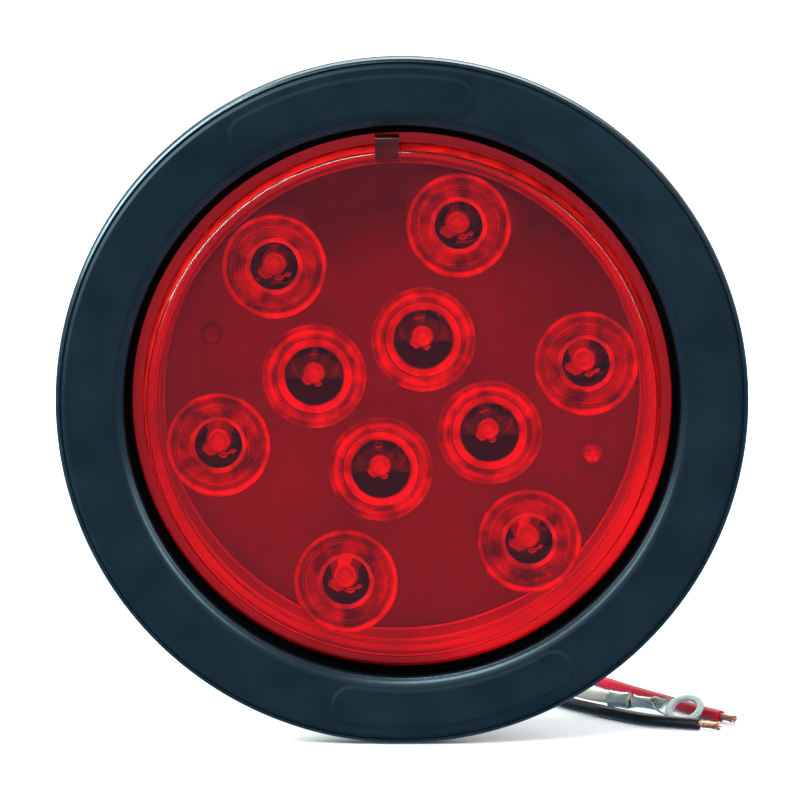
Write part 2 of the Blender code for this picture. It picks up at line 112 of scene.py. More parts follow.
# Lens
LAMP_R = HOUSING_HIGH.x
LEDGE_Y = 0.3
WELD_Y = 3.3
LENS_EDGE_Y = -7.5
LENS_DOME = 0.6
LENS_FACE_R = 50.4
LENS_STEP_R = 51.3
LENS_WALL = 2.0
LENS_INNER_R = LENS_FACE_R - LENS_WALL
LENS_INNER_Y = LENS_EDGE_Y + LENS_WALL
TAB_ANGLE = 93.2
TAB_R = 53.1
TAB_WIDTH = 4.8
OPTIC_R = 10.3
OPTIC_ROOT_Y = LENS_INNER_Y - 0.9
RINGED_WINDOW_R = 4.7
SMOOTH_WINDOW_R = 5.8

# Housing and board
BOARD_Y = BOARD_LOW.y
BOARD_BACK_Y = BOARD_HIGH.y
BOARD_R = BOARD_HIGH.x
DARK_DISC_R = 7.0  # of the near-black disc round each diode
GAP = 0.3
CUP_R = 50.4
CUP_BACK_R = 49.6
CUP_INNER_R = BOARD_R + GAP
CUP_LEDGE_R = 45.6
CUP_BACK_Y = 24.0
CUP_FLOOR_Y = 22.0
FLANGE_BACK_Y = 7.1
LEDGE_SHADING_FADE = (41.0, 50.0)  # where the ledge's painted shade turns to painted light, towards the lower right
SOCKET_BACK_Y = HOUSING_HIGH.y
SOCKET_FLOOR_Y = 18.4
SOCKET_WALL = 1.7
SOCKET_HALF_X = 14.8
SOCKET_HALF_Z = 7.8
SCREW_HOLE_R = 1.5
SCREW_HOLES_Y = (8.0, 19.4)
PIN_R = 1.15
PIN_HOLES_Y = (10.0, 21.0)

# Plug and leads
PLUG_HALF_X = 17.0
PLUG_FOOT_Z = -11.0
SLEEVE_R = 2.1
SLEEVE_BORE_R = 1.45
LEAD_R = 1.15
LEAD_STEP = 1.6
RELIEF_Y = 36.0
RELIEF_LENGTH = 12.0
RELIEF_SPACING = 4.4
TOP_Z = PLUG_LOW.z - GAP  # where the leads leave the strain reliefs
LIE_Z = GROMMET_LOW.z + LEAD_R + 0.08  # where they lie on the floor
WHITE_ROUTE = (
    (0.0, RELIEF_Y, TOP_Z), (-0.2, 36.3, -28.0), (-5.6, 40.4, -44.5), (-9.6, 48.6, -58.4),
    (-6.6, 56.6, -65.6), (3.0, 60.8, -67.2), (15.0, 59.6, -67.2), (24.6, 53.2, -66.8),
    (30.2, 43.6, -65.8), (34.0, 34.4, -65.0), (38.0, 28.0, -64.9), (42.3, 24.9, -65.1),
)
BLACK_ROUTE = (
    (-RELIEF_SPACING, RELIEF_Y, TOP_Z), (-4.8, 36.1, -28.0), (-12.4, 37.8, -44.6), (-18.0, 42.4, -59.2),
    (-13.8, 48.6, -66.5), (-3.0, 51.6, LIE_Z), (10.0, 51.2, LIE_Z), (21.8, 46.4, LIE_Z),
    (29.8, 37.2, LIE_Z), (35.6, 29.6, LIE_Z), (42.4, 21.7, LIE_Z), (50.4, 13.8, LIE_Z),
    (59.9, 9.2, LIE_Z),
)
RED_ROUTE = (
    (RELIEF_SPACING, RELIEF_Y, TOP_Z), (4.5, 36.6, -28.0), (1.8, 43.6, -43.0), (-0.6, 54.4, -56.2),
    (3.2, 64.0, -64.8), (13.6, 69.2, -67.2), (25.6, 69.0, LIE_Z), (35.8, 63.0, LIE_Z),
    (42.4, 53.4, LIE_Z), (48.7, 42.6, LIE_Z), (55.2, 32.4, LIE_Z), (61.2, 22.2, LIE_Z),
    (64.7, 17.4, LIE_Z),
)

# Ring terminal, in its own frame: +X from the lead's end along the crimps, +Z off the ring's face
TERMINAL_START = (42.57, 24.77, -65.12)
TERMINAL_TURN = tuple(math.radians(a) for a in (33.5, 1.2, -24.8))
RING_CENTRE_X = 16.2
RING_PLANE_Z = -0.7
RING_R = 3.9
RING_HOLE_R = 2.55
RING_T = 0.8


# ---- materials ----


class Nodes:
    """Short calls that add and join the nodes of a material or a world."""

    def __init__(self, tree):
        self.tree = tree

    def add(self, kind, **inputs):
        node = self.tree.nodes.new(kind)
        for name, value in inputs.items():
            self.join(value, node.inputs[name.replace("_", " ")])
        return node

    def join(self, value, socket):
        """Sets an input to a number or a colour, or links it to an output."""
        if isinstance(value, bpy.types.NodeSocket):
            self.tree.links.new(value, socket)
        elif isinstance(value, tuple) and len(value) == 3 and socket.type == "RGBA":
            socket.default_value = (*value, 1.0)
        else:
            socket.default_value = value

    def between(self, value, low, high, start=0.3, end=0.7):
        """A number that goes from low to high as the value goes from start to end."""
        span = {"From_Min": start, "From_Max": end, "To_Min": low, "To_Max": high}
        return self.add("ShaderNodeMapRange", Value=value, **span).outputs[0]

    def blend(self, factor, first, second):
        made = self.tree.nodes.new("ShaderNodeMix")
        made.data_type = "RGBA"
        self.join(factor, made.inputs[0])
        self.join(first, made.inputs[6])
        self.join(second, made.inputs[7])
        return made.outputs[2]

    def maths(self, operation, first, second=0.0):
        made = self.tree.nodes.new("ShaderNodeMath")
        made.operation = operation
        self.join(first, made.inputs[0])
        self.join(second, made.inputs[1])
        return made.outputs[0]


class Paint(Nodes):
    """A Principled material that varies over a piece. Sizes are in mm."""

    def __init__(self, name, metallic=0.0):
        self.material = bpy.data.materials.new(name)
        self.material.use_nodes = True
        super().__init__(self.material.node_tree)
        self.shader = self.tree.nodes["Principled BSDF"]
        self.output = self.tree.nodes["Material Output"]
        self.shader.inputs["Metallic"].default_value = metallic
        self.place = self.add("ShaderNodeTexCoord").outputs["Object"]

    def set(self, **inputs):
        for name, value in inputs.items():
            self.join(value, self.shader.inputs[name.replace("_", " ")])

    def noise(self, size, detail=3.0, stretch=(1.0, 1.0, 1.0)):
        """Noise from 0 to 1 with features of about this size, longer along an axis with a stretch above 1."""
        spread = self.add("ShaderNodeVectorMath")
        spread.operation = "DIVIDE"
        self.join(self.place, spread.inputs[0])
        spread.inputs[1].default_value = [size * MM * s for s in stretch]
        made = self.add("ShaderNodeTexNoise", Vector=spread.outputs[0], Scale=1.0, Detail=detail)
        return made.outputs[0]

    def now(self, name):
        """What one of the shader's inputs is linked to."""
        return self.shader.inputs[name].links[0].from_socket

    def bump(self, height, depth):
        return self.add("ShaderNodeBump", Height=height, Distance=depth * MM).outputs[0]

    def part(self, axis):
        """The place along an axis, in mm."""
        split = self.add("ShaderNodeSeparateXYZ", Vector=self.place)
        return self.maths("MULTIPLY", split.outputs[axis], 1.0 / MM)

    def off_line(self, x=0.0, z=0.0):
        """The distance from the line along Y through (x, z), in mm."""
        flat = self.add("ShaderNodeVectorMath")
        flat.operation = "MULTIPLY"
        self.join(self.place, flat.inputs[0])
        flat.inputs[1].default_value = (1.0, 0.0, 1.0)
        away = self.add("ShaderNodeVectorMath")
        away.operation = "DISTANCE"
        self.join(flat.outputs[0], away.inputs[0])
        away.inputs[1].default_value = (x * MM, 0.0, z * MM)
        return self.maths("MULTIPLY", away.outputs["Value"], 1.0 / MM)


def finish(name, dark, light, roughness, patch, grain, depth, metallic=0.0):
    """A material that drifts between two tones in patches, with a grain in its gloss and its surface."""
    paint = Paint(name, metallic)
    drift = paint.noise(patch, 4.0)
    fine = paint.noise(grain)
    paint.set(Base_Color=paint.blend(paint.between(drift, 0.0, 1.0), dark, light))
    low, high = roughness
    both = paint.maths("ADD", paint.maths("MULTIPLY", drift, 0.6), paint.maths("MULTIPLY", fine, 0.4))
    paint.set(Roughness=paint.between(both, low, high))
    paint.set(Normal=paint.bump(fine, depth))
    return paint


def make_rubber():
    """Black rubber, scuffed at its rim. The mouth's bore is matt and painted near-black as shade, and the lip
    and the rim are smoother.
    """
    paint = finish(
        "black_rubber", (0.0015, 0.0052, 0.0085), (0.0026, 0.008, 0.0125), (0.40, 0.56), 9.0, 0.5, 0.012
    )
    across = paint.off_line()
    near_rim = paint.between(across, 0.0, 1.0, GROMMET_R - 1.4, GROMMET_R - 0.4)
    scuff = paint.maths("MULTIPLY", near_rim, paint.between(paint.noise(2.5, 5.0), 0.0, 1.0, 0.45, 0.7))
    tone = paint.blend(scuff, paint.now("Base Color"), (0.006, 0.011, 0.015))
    in_bore = paint.between(across, 1.0, 0.0, MOUTH_R - 0.1, MOUTH_R + 0.2)
    off_bore = paint.between(across, 0.0, 1.0, MOUTH_R + 0.1, MOUTH_R + 0.3)
    lip = paint.maths("MULTIPLY", off_bore, paint.between(across, 1.0, 0.0, MOUTH_R + 1.2, MOUTH_R + 1.6))
    rim = paint.between(across, 0.0, 1.0, GROMMET_R - 1.3, GROMMET_R - 0.9)
    smooth = paint.maths("ADD", rim, lip)
    rough = paint.maths("ADD", paint.now("Roughness"), paint.maths("MULTIPLY", in_bore, 0.5))
    rough = paint.maths("SUBTRACT", rough, paint.maths("MULTIPLY", smooth, 0.24))
    gloss = paint.between(in_bore, 0.17, 0.02, 0.0, 1.0)
    gloss = paint.maths("ADD", gloss, paint.maths("MULTIPLY", smooth, 0.33))
    # The near-black tone in the bore is painted shade in the recess.
    paint.set(Base_Color=paint.blend(in_bore, tone, (0.0004, 0.0008, 0.0012)), Roughness=rough)
    paint.set(Specular_IOR_Level=gloss, Specular_Tint=(0.55, 0.85, 1.0))
    return paint.material


def see_through(paint, tint, ior, roughness):
    """Makes a paint clear. Shadow and diffuse rays pass straight through it, tinted."""
    paint.set(Transmission_Weight=1.0, IOR=ior, Roughness=roughness, Base_Color=tint)
    rays = paint.add("ShaderNodeLightPath")
    either = paint.maths("MAXIMUM", rays.outputs["Is Shadow Ray"], rays.outputs["Is Diffuse Ray"])
    once = tuple(math.sqrt(c) for c in tint)
    straight = paint.add("ShaderNodeBsdfTransparent", Color=once)
    mixed = paint.tree.nodes.new("ShaderNodeMixShader")
    paint.join(either, mixed.inputs[0])
    paint.join(paint.shader.outputs[0], mixed.inputs[1])
    paint.join(straight.outputs[0], mixed.inputs[2])
    paint.join(mixed.outputs[0], paint.output.inputs["Surface"])


def make_acrylic():
    """Clear red acrylic with the faint flow lines of its moulding."""
    paint = Paint("red_acrylic")
    flow = paint.noise(3.0, 2.0, (1.0, 1.0, 14.0))
    paint.set(Normal=paint.bump(flow, 0.004))
    see_through(paint, (0.92, 0.012, 0.012), 1.46, 0.015)
    return paint.material


def make_dark_acrylic():
    """The index tab is solid, so less light comes back out of it."""
    paint = Paint("red_acrylic_solid")
    paint.set(Normal=paint.bump(paint.noise(1.0, 2.0), 0.004))
    see_through(paint, (0.035, 0.002, 0.003), 1.46, 0.3)
    return paint.material


def make_ringed_acrylic(name, dark, light, clear):
    """The optics' ringed faces: the same acrylic, with a fine grain that scatters light, and patches of
    lighter and darker red that are painted reflections.
    """
    paint = Paint(name)
    drift = paint.noise(4.5, 2.0)
    paint.set(Base_Color=paint.blend(paint.between(drift, 0.0, 1.0, 0.38, 0.62), dark, light))
    paint.set(Transmission_Weight=clear, IOR=1.46)
    paint.set(Roughness=paint.between(paint.noise(0.8), 0.3, 0.45))
    return paint.material


def make_epoxy():
    paint = Paint("diode_epoxy")
    paint.set(Normal=paint.bump(paint.noise(0.8, 2.0), 0.002))
    see_through(paint, (0.97, 0.95, 0.93), 1.5, 0.02)
    return paint.material


def make_housing_plastic():
    """Grey plastic, white inside the cup, paler under the lens's side wall, with painted shade on the ledge
    in front of the weld that turns to painted light towards the lower right.
    """
    paint = finish("housing_plastic", (0.27, 0.26, 0.25), (0.33, 0.32, 0.31), (0.35, 0.55), 12.0, 0.4, 0.006)
    across, along = paint.off_line(), paint.part(1)
    in_cup = paint.maths(
        "MULTIPLY",
        paint.between(across, 1.0, 0.0, CUP_INNER_R + 0.1, CUP_INNER_R + 0.2),
        paint.between(along, 1.0, 0.0, CUP_FLOOR_Y + 0.1, CUP_FLOOR_Y + 0.3),
    )
    in_front = paint.between(along, 1.0, 0.0, WELD_Y + 0.6, WELD_Y + 0.8)
    under_wall = paint.maths("MULTIPLY", in_front, paint.between(across, 1.0, 0.0, CUP_R - 0.2, CUP_R + 0.2))
    # Painted shade and light on the ledge in front of the weld: dark grey, turning pale towards the lower
    # right.
    low_right = paint.maths("MULTIPLY", paint.maths("SUBTRACT", paint.part(0), paint.part(2)), math.sqrt(0.5))
    fade = paint.between(low_right, 0.0, 1.0, *LEDGE_SHADING_FADE)
    ledge_shading = paint.blend(fade, (0.23, 0.22, 0.22), (0.72, 0.71, 0.69))
    tone = paint.blend(in_front, paint.now("Base Color"), ledge_shading)
    tone = paint.blend(under_wall, tone, (0.62, 0.61, 0.59))
    paint.set(Base_Color=paint.blend(in_cup, tone, (0.88, 0.87, 0.85)))
    return paint.material


def make_laminate():
    """Lacquered board, with tracks, and a near-black disc round each diode."""
    dark, light = (0.060, 0.075, 0.065), (0.085, 0.095, 0.08)
    paint = finish("board_laminate", dark, light, (0.28, 0.42), 5.0, 0.6, 0.004)
    streak = paint.noise(1.6, 2.0, (1.0, 1.0, 12.0))
    tone = paint.now("Base Color")
    tone = paint.blend(paint.between(streak, 0.0, 0.35, 0.45, 0.75), tone, (0.12, 0.11, 0.1))
    for node in LEDS:
        near = paint.between(paint.off_line(*axis_of(node)), 1.0, 0.0, DARK_DISC_R, DARK_DISC_R + 0.2)
        tone = paint.blend(near, tone, (0.002, 0.002, 0.002))
    paint.set(Base_Color=tone)
    return paint.material


def make_resistor_coat():
    """Tan lacquer with colour bands round the body, in the resistor's own frame along X."""
    paint = finish("resistor_coat", (0.5, 0.37, 0.24), (0.6, 0.46, 0.31), (0.3, 0.45), 1.5, 0.2, 0.004)
    tone = paint.now("Base Color")
    red, dark_red, brown, gold = (0.35, 0.02, 0.02), (0.3, 0.02, 0.02), (0.25, 0.09, 0.02), (0.6, 0.42, 0.1)
    for place, colour in ((-2.2, red), (-1.0, dark_red), (0.2, brown), (2.2, gold)):
        off = paint.maths("ABSOLUTE", paint.maths("SUBTRACT", paint.part(0), place))
        tone = paint.blend(paint.between(off, 1.0, 0.0, 0.24, 0.30), tone, colour)
    paint.set(Base_Color=tone)
    return paint.material


def make_rectifier_epoxy():
    """Black moulded epoxy with a pale band at the cathode's end."""
    dark, light = (0.02, 0.02, 0.02), (0.035, 0.035, 0.035)
    paint = finish("rectifier_epoxy", dark, light, (0.35, 0.5), 1.5, 0.25, 0.006)
    off = paint.maths("ABSOLUTE", paint.maths("SUBTRACT", paint.part(0), 2.3))
    band = paint.between(off, 1.0, 0.0, 0.38, 0.46)
    paint.set(Base_Color=paint.blend(band, paint.now("Base Color"), (0.6, 0.6, 0.58)))
    return paint.material


def make_insulation(name, dark, light):
    """Extruded vinyl, with a fine grain in its gloss and its surface."""
    paint = finish(name, dark, light, (0.3, 0.45), 3.0, 0.35, 0.006)
    paint.set(Specular_IOR_Level=0.2)
    return paint.material


RUBBER = make_rubber()
ACRYLIC = make_acrylic()
DARK_ACRYLIC = make_dark_acrylic()
# Three tones of the ringed acrylic: the lightest is a painted highlight, the darkest painted shade.
RINGED_ACRYLIC = make_ringed_acrylic("red_acrylic_ringed", (0.12, 0.002, 0.004), (0.52, 0.006, 0.01), 0.45)
PAINTED_SHADE_ACRYLIC = make_ringed_acrylic("red_acrylic_painted_shade", (0.08, 0.002, 0.004), (0.2, 0.004, 0.008), 0.6)
PAINTED_HIGHLIGHT_ACRYLIC = make_ringed_acrylic("red_acrylic_painted_highlight", (0.30, 0.003, 0.004), (0.66, 0.006, 0.006), 0.2)
EPOXY = make_epoxy()
LAMINATE = make_laminate()
RESISTOR_COAT = make_resistor_coat()
RECTIFIER_EPOXY = make_rectifier_epoxy()
HOUSING_PLASTIC = make_housing_plastic()
PLUG_PLASTIC = finish(
    "plug_plastic", (0.007, 0.008, 0.010), (0.015, 0.016, 0.018), (0.38, 0.56), 6.0, 0.35, 0.012
).material
RESIN = finish("sealing_resin", (0.05, 0.05, 0.06), (0.09, 0.09, 0.1), (0.15, 0.4), 3.0, 0.8, 0.01).material
STEEL = finish(
    "screw_steel", (0.50, 0.50, 0.48), (0.68, 0.68, 0.66), (0.25, 0.42), 1.2, 0.15, 0.004, 1.0
).material
# A darker copy of the screw steel, which the first screw takes.
DARKER_STEEL = finish(
    "darker_steel", (0.10, 0.11, 0.10), (0.16, 0.17, 0.15), (0.3, 0.45), 1.2, 0.15, 0.004, 0.6
).material
BRASS = finish(
    "contact_brass", (0.60, 0.55, 0.38), (0.76, 0.70, 0.52), (0.22, 0.4), 2.0, 0.2, 0.004, 1.0
).material
TIN = finish(
    "tinned_copper", (0.40, 0.47, 0.45), (0.56, 0.63, 0.61), (0.32, 0.5), 1.6, 0.2, 0.008, 0.5
).material
COPPER = finish(
    "bare_copper", (0.72, 0.33, 0.19), (0.93, 0.55, 0.36), (0.22, 0.38), 0.6, 0.1, 0.003, 1.0
).material
FRAME_METAL = finish(
    "diode_frame", (0.80, 0.80, 0.78), (0.92, 0.92, 0.90), (0.5, 0.65), 0.8, 0.1, 0.003, 1.0
).material
# The legs are the frame's metal painted near-black, as shade behind the cup.
SHADED_LEG_METAL = finish(
    "diode_legs_painted_shade", (0.03, 0.03, 0.03), (0.07, 0.07, 0.07), (0.35, 0.5), 0.8, 0.1, 0.003, 1.0
).material
WHITE_VINYL = make_insulation("white_insulation", (0.53, 0.53, 0.46), (0.64, 0.64, 0.56))
BLACK_VINYL = make_insulation("black_insulation", (0.005, 0.006, 0.007), (0.011, 0.012, 0.014))
RED_VINYL = make_insulation("red_insulation", (0.36, 0.004, 0.016), (0.48, 0.006, 0.028))


# ---- shapes ----


def polar(angle, radius):
    """(x, z) at an angle in degrees, anticlockwise from +X as seen from the front."""
    turn = math.radians(angle)
    return radius * math.cos(turn), radius * math.sin(turn)


def full_turn(steps):
    return [360 * k / steps for k in range(steps)]


def add_object(name, data, surface=None):
    made = bpy.data.objects.new(name, data)
    bpy.context.scene.collection.objects.link(made)
    if surface:
        data.materials.append(surface)
    return made


def mesh_of(name, shape, sharp=30.0):
    """The mesh of a bmesh in mm, scaled to metres, with its faces out and its round faces shaded smooth."""
    bmesh.ops.recalc_face_normals(shape, faces=shape.faces)
    bmesh.ops.scale(shape, vec=(MM, MM, MM), verts=shape.verts)
    mesh = bpy.data.meshes.new(name)
    shape.to_mesh(mesh)
    shape.free()
    mesh.shade_smooth()
    mesh.set_sharp_from_angle(angle=math.radians(sharp))
    return mesh


def filleted(corners, closed=False):
    """The points of an outline of (x, y) corners, with an arc at each corner that has a radius as well."""
    points = []
    for i, (x, y, *radius) in enumerate(corners):
        here = Vector((x, y))
        at_end = not closed and i in (0, len(corners) - 1)
        if at_end or not radius:
            points.append(here)
            continue
        back = Vector(corners[i - 1][:2]) - here
        onward = Vector(corners[(i + 1) % len(corners)][:2]) - here
        half = back.angle(onward) / 2
        reach = min(radius[0] / math.tan(half), 0.48 * back.length, 0.48 * onward.length)
        arc_r = reach * math.tan(half)
        centre = here + (back.normalized() + onward.normalized()).normalized() * arc_r / math.sin(half)
        start = here + back.normalized() * reach - centre
        end = here + onward.normalized() * reach - centre
        first = math.atan2(start.y, start.x)
        turn = (math.atan2(end.y, end.x) - first + math.pi) % (2 * math.pi) - math.pi
        steps = max(2, round(abs(math.degrees(turn)) / ARC_STEP))
        for k in range(steps + 1):
            angle = first + turn * k / steps
            points.append(centre + Vector((math.cos(angle), math.sin(angle))) * arc_r)
    return points


def turn_about_y(shape, points, angles, at=(0.0, 0.0), closed=False, relief=None, bands=()):
    """Adds to a bmesh what (radius, y) points sweep about a line along Y through (x, z).

    A relief lifts points by angle, radius and y. Bands of (outer radius, material) set the faces' materials.
    """
    rings = []
    for radius, y in points:
        if radius < 1e-6:
            rings.append([shape.verts.new((at[0], y, at[1]))])
            continue
        ring = []
        for angle in angles:
            lift = relief(angle, radius, y) if relief else 0.0
            x, z = polar(angle, radius)
            ring.append(shape.verts.new((at[0] + x, y + lift, at[1] + z)))
        rings.append(ring)
    pairs = [(i, i + 1) for i in range(len(rings) - 1)]
    if closed:
        pairs.append((len(rings) - 1, 0))
    count = len(angles)
    for i, j in pairs:
        first, second = rings[i], rings[j]
        radius = (points[i][0] + points[j][0]) / 2
        index = next((material for limit, material in bands if radius < limit), 0)
        for k in range(count):
            after = (k + 1) % count
            if len(first) == 1:
                face = shape.faces.new((first[0], second[k], second[after]))
            elif len(second) == 1:
                face = shape.faces.new((first[k], second[0], first[after]))
            else:
                face = shape.faces.new((first[k], second[k], second[after], first[after]))
            face.material_index = index


def bridge(shape, first, second):
    """Adds to a bmesh the faces between two loops of as many points."""
    for k in range(len(first)):
        after = (k + 1) % len(first)
        shape.faces.new((first[k], first[after], second[after], second[k]))


def turned(name, corners, steps, surface=None, at=(0.0, 0.0), closed=False):
    """A solid turned about a line along Y, from (radius, y) or (radius, y, fillet) corners."""
    shape = bmesh.new()
    turn_about_y(shape, filleted(corners, closed), full_turn(steps), at, closed)
    return add_object(name, mesh_of(name, shape), surface)


def turned_at(nodes, corners, steps=24):
    """The same turned solid on the axis of each node, to join to a piece or to cut from it."""
    return [turned("tool", corners, steps, at=axis_of(node)) for node in nodes]


def drill(radius, low_y, high_y):
    """The corners of a plain round tool."""
    return [(0.0, low_y), (radius, low_y), (radius, high_y), (0.0, high_y)]


def add_block(shape, low, high, corner_r=0.0, edge=0.0, turn=0.0):
    """Adds to a bmesh a box with rounded edges along Y and soft other edges, turned about the Y axis."""
    size = Vector(high) - Vector(low)
    part = bmesh.new()
    bmesh.ops.create_cube(part, size=1.0)
    bmesh.ops.scale(part, vec=size, verts=part.verts)
    bmesh.ops.translate(part, vec=(Vector(low) + Vector(high)) / 2, verts=part.verts)
    if corner_r:
        along = [e for e in part.edges if abs(e.verts[0].co.y - e.verts[1].co.y) > size.y / 2]
        bmesh.ops.bevel(part, geom=along, offset=corner_r, segments=6, profile=0.5, affect="EDGES")
    if edge:
        round_ends = [e for e in part.edges if abs(e.verts[0].co.y - e.verts[1].co.y) < 1e-6]
        bmesh.ops.bevel(part, geom=round_ends, offset=edge, segments=3, profile=0.5, affect="EDGES")
    if turn:
        spin = Matrix.Rotation(-math.radians(turn), 3, "Y")
        bmesh.ops.rotate(part, cent=(0.0, 0.0, 0.0), matrix=spin, verts=part.verts)
    copy = bpy.data.meshes.new("part")
    part.to_mesh(copy)
    part.free()
    shape.from_mesh(copy)
    bpy.data.meshes.remove(copy)


def block(name, low, high, corner_r=0.0, edge=0.0, surface=None):
    shape = bmesh.new()
    add_block(shape, low, high, corner_r, edge)
    return add_object(name, mesh_of(name, shape), surface)


def merge(target, tools, operation="UNION", sharp=30.0):
    """Joins closed shapes to a piece, or cuts them from it, for good."""
    for tool in tools:
        step = target.modifiers.new(tool.name, "BOOLEAN")
        step.operation = operation
        step.object = tool
    bpy.context.view_layer.update()
    solved = target.evaluated_get(bpy.context.evaluated_depsgraph_get())
    mesh = bpy.data.meshes.new_from_object(solved)
    target.modifiers.clear()
    target.data = mesh
    for tool in tools:
        bpy.data.objects.remove(tool)
    mesh.shade_smooth()
    mesh.set_sharp_from_angle(angle=math.radians(sharp))


def move(made, matrix):
    """Moves a piece's mesh, in mm."""
    scaled = matrix.copy()
    scaled.translation = matrix.translation * MM
    made.data.transform(scaled)
    made.data.update()


def ready(piece, body, slot, *nodes):
    """A finished piece rides on its body and stands for its nodes, which it hides. Its slot is not used."""
    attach(piece, body)
    if nodes:
        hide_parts(*nodes)
    return piece


# ---- camera, floor and light ----


def make_camera():
    data = bpy.data.cameras.new("camera")
    data.sensor_width = SENSOR_WIDTH
    data.lens = SENSOR_WIDTH * CAMERA_DISTANCE / VIEW_WIDTH
    camera = add_object("camera", data)
    tilt = math.radians(CAMERA_ELEVATION)
    back = Vector((0.0, -math.cos(tilt), math.sin(tilt))) * CAMERA_DISTANCE
    camera.location = (Vector(CAMERA_AIM) + back) * MM
    camera.rotation_euler = (math.pi / 2 - tilt, 0.0, 0.0)
    bpy.context.scene.camera = camera


def make_floor():
    """A wide pale floor at the height of the rim's lowest point."""
    shape = bmesh.new()
    bmesh.ops.create_circle(shape, cap_ends=True, segments=96, radius=4000.0)
    bmesh.ops.translate(shape, vec=(0.0, 0.0, GROMMET_LOW.z - 0.05), verts=shape.verts)
    floor = add_object("floor", mesh_of("floor", shape))
    paint = finish("floor_paper", (0.88, 0.89, 0.89), (0.92, 0.92, 0.92), (0.7, 0.9), 300.0, 2.0, 0.01)
    floor.data.materials.append(paint.material)
    floor.visible_glossy = False


def make_softbox(name, place, aim, size, power, colour):
    """A softbox that lights what is behind the lens, but whose own shape doesn't show in there."""
    data = bpy.data.lights.new(name, "AREA")
    data.shape = "RECTANGLE"
    data.size, data.size_y = size
    data.energy = power
    data.color = colour
    lamp = add_object(name, data)
    lamp.visible_transmission = False
    lamp.location = place
    lamp.rotation_euler = (Vector(aim) - Vector(place)).to_track_quat("-Z", "Y").to_euler()


def make_studio():
    world = bpy.data.worlds.new("studio")
    world.use_nodes = True
    bpy.context.scene.world = world
    nodes = Nodes(world.node_tree)
    way = nodes.add("ShaderNodeTexCoord").outputs["Generated"]
    rise = nodes.add("ShaderNodeSeparateXYZ", Vector=way).outputs["Z"]
    tone = nodes.blend(nodes.between(rise, 0.0, 1.0, -0.02, 0.25), SKY_BELOW, SKY_ABOVE)
    seen = nodes.blend(nodes.add("ShaderNodeLightPath").outputs["Is Camera Ray"], tone, BACKDROP)
    nodes.join(seen, world.node_tree.nodes["Background"].inputs["Color"])
    bpy.context.scene.view_settings.view_transform = "Standard"
    for softbox in SOFTBOXES:
        make_softbox(*softbox)


# ---- leads ----


def smooth_route(route, spacing):
    """Points about this far apart on a centripetal Catmull-Rom curve through the route's points."""
    knots = [Vector(p) for p in route]
    knots = [2 * knots[0] - knots[1]] + knots + [2 * knots[-1] - knots[-2]]
    fine = []
    for p0, p1, p2, p3 in zip(knots, knots[1:], knots[2:], knots[3:]):
        t1 = (p1 - p0).length ** 0.5
        t2 = t1 + (p2 - p1).length ** 0.5
        t3 = t2 + (p3 - p2).length ** 0.5
        for i in range(20):
            t = t1 + (t2 - t1) * i / 20
            a1 = p0.lerp(p1, t / t1)
            a2 = p1.lerp(p2, (t - t1) / (t2 - t1))
            a3 = p2.lerp(p3, (t - t2) / (t3 - t2))
            b1 = a1.lerp(a2, t / t2)
            b2 = a2.lerp(a3, (t - t1) / (t3 - t1))
            fine.append(b1.lerp(b2, (t - t1) / (t2 - t1)))
    fine.append(knots[-2])
    lengths = [0.0]
    for first, second in zip(fine, fine[1:]):
        lengths.append(lengths[-1] + (second - first).length)
    count = max(2, round(lengths[-1] / spacing))
    points = []
    for i in range(count + 1):
        wanted = lengths[-1] * i / count
        at = next(k for k, run in enumerate(lengths) if run >= wanted - 1e-9)
        before = max(at - 1, 0)
        part = (wanted - lengths[before]) / max(lengths[at] - lengths[before], 1e-9)
        points.append(fine[before].lerp(fine[at], part))
    return points


def make_tubes(name, runs, radius, surface, resolution=5):
    """A curve with a round tube along each run of points."""
    curve = bpy.data.curves.new(name, "CURVE")
    curve.dimensions = "3D"
    curve.bevel_depth = radius * MM
    curve.bevel_resolution = resolution
    curve.use_fill_caps = True
    for points in runs:
        spline = curve.splines.new("POLY")
        spline.points.add(len(points) - 1)
        for target, point in zip(spline.points, points):
            target.co = (*(Vector(point) * MM), 1.0)
    return add_object(name, curve, surface)


STRAND_R = 0.13
STRAND_REACH = 4.5  # how far the bare strands stand out of the insulation
STRAND_RINGS = ((0.0, 1), (0.27, 6), (0.52, 9))  # (radius, number of strands)
STRAND_LAY = 11.0  # the length of one full twist


def make_strands(name, route_points, seed):
    """A twisted bundle of bare strands that opens a little towards its cut end."""
    chance = random.Random(seed)
    onward = (route_points[-1] - route_points[-3]).normalized()
    across = onward.cross(Vector((0.0, 0.0, 1.0))).normalized()
    upward = across.cross(onward)
    start = route_points[-1] - onward * 0.6
    lowest = GROMMET_LOW.z + STRAND_R + 0.05
    runs = []
    for radius, count in STRAND_RINGS:
        for k in range(count):
            first = 2 * math.pi * k / count + radius
            reach = STRAND_REACH + 0.6 + chance.uniform(-0.7, 0.2)
            flare = chance.uniform(0.0, 0.55)
            lean = chance.uniform(-0.35, 0.35)
            run = []
            for i in range(9):
                t = i / 8
                spread = radius + (radius + 0.15) * flare * t * t
                angle = first + 2 * math.pi * reach * t / STRAND_LAY + lean * t * t
                off = across * math.cos(angle) * spread + upward * math.sin(angle) * spread
                point = start + onward * reach * t + off
                point.z = max(point.z, lowest)
                run.append(point)
            runs.append(run)
    return make_tubes(name, runs, STRAND_R, COPPER, 2)


# Route, length and insulation of each lead
LEADS = {
    "white": (WHITE_ROUTE, 122.5, WHITE_VINYL),
    "black": (BLACK_ROUTE, 144.7, BLACK_VINYL),
    "red": (RED_ROUTE, 145.7, RED_VINYL),
}
STRAND_SEEDS = {"black": 5, "red": 8}


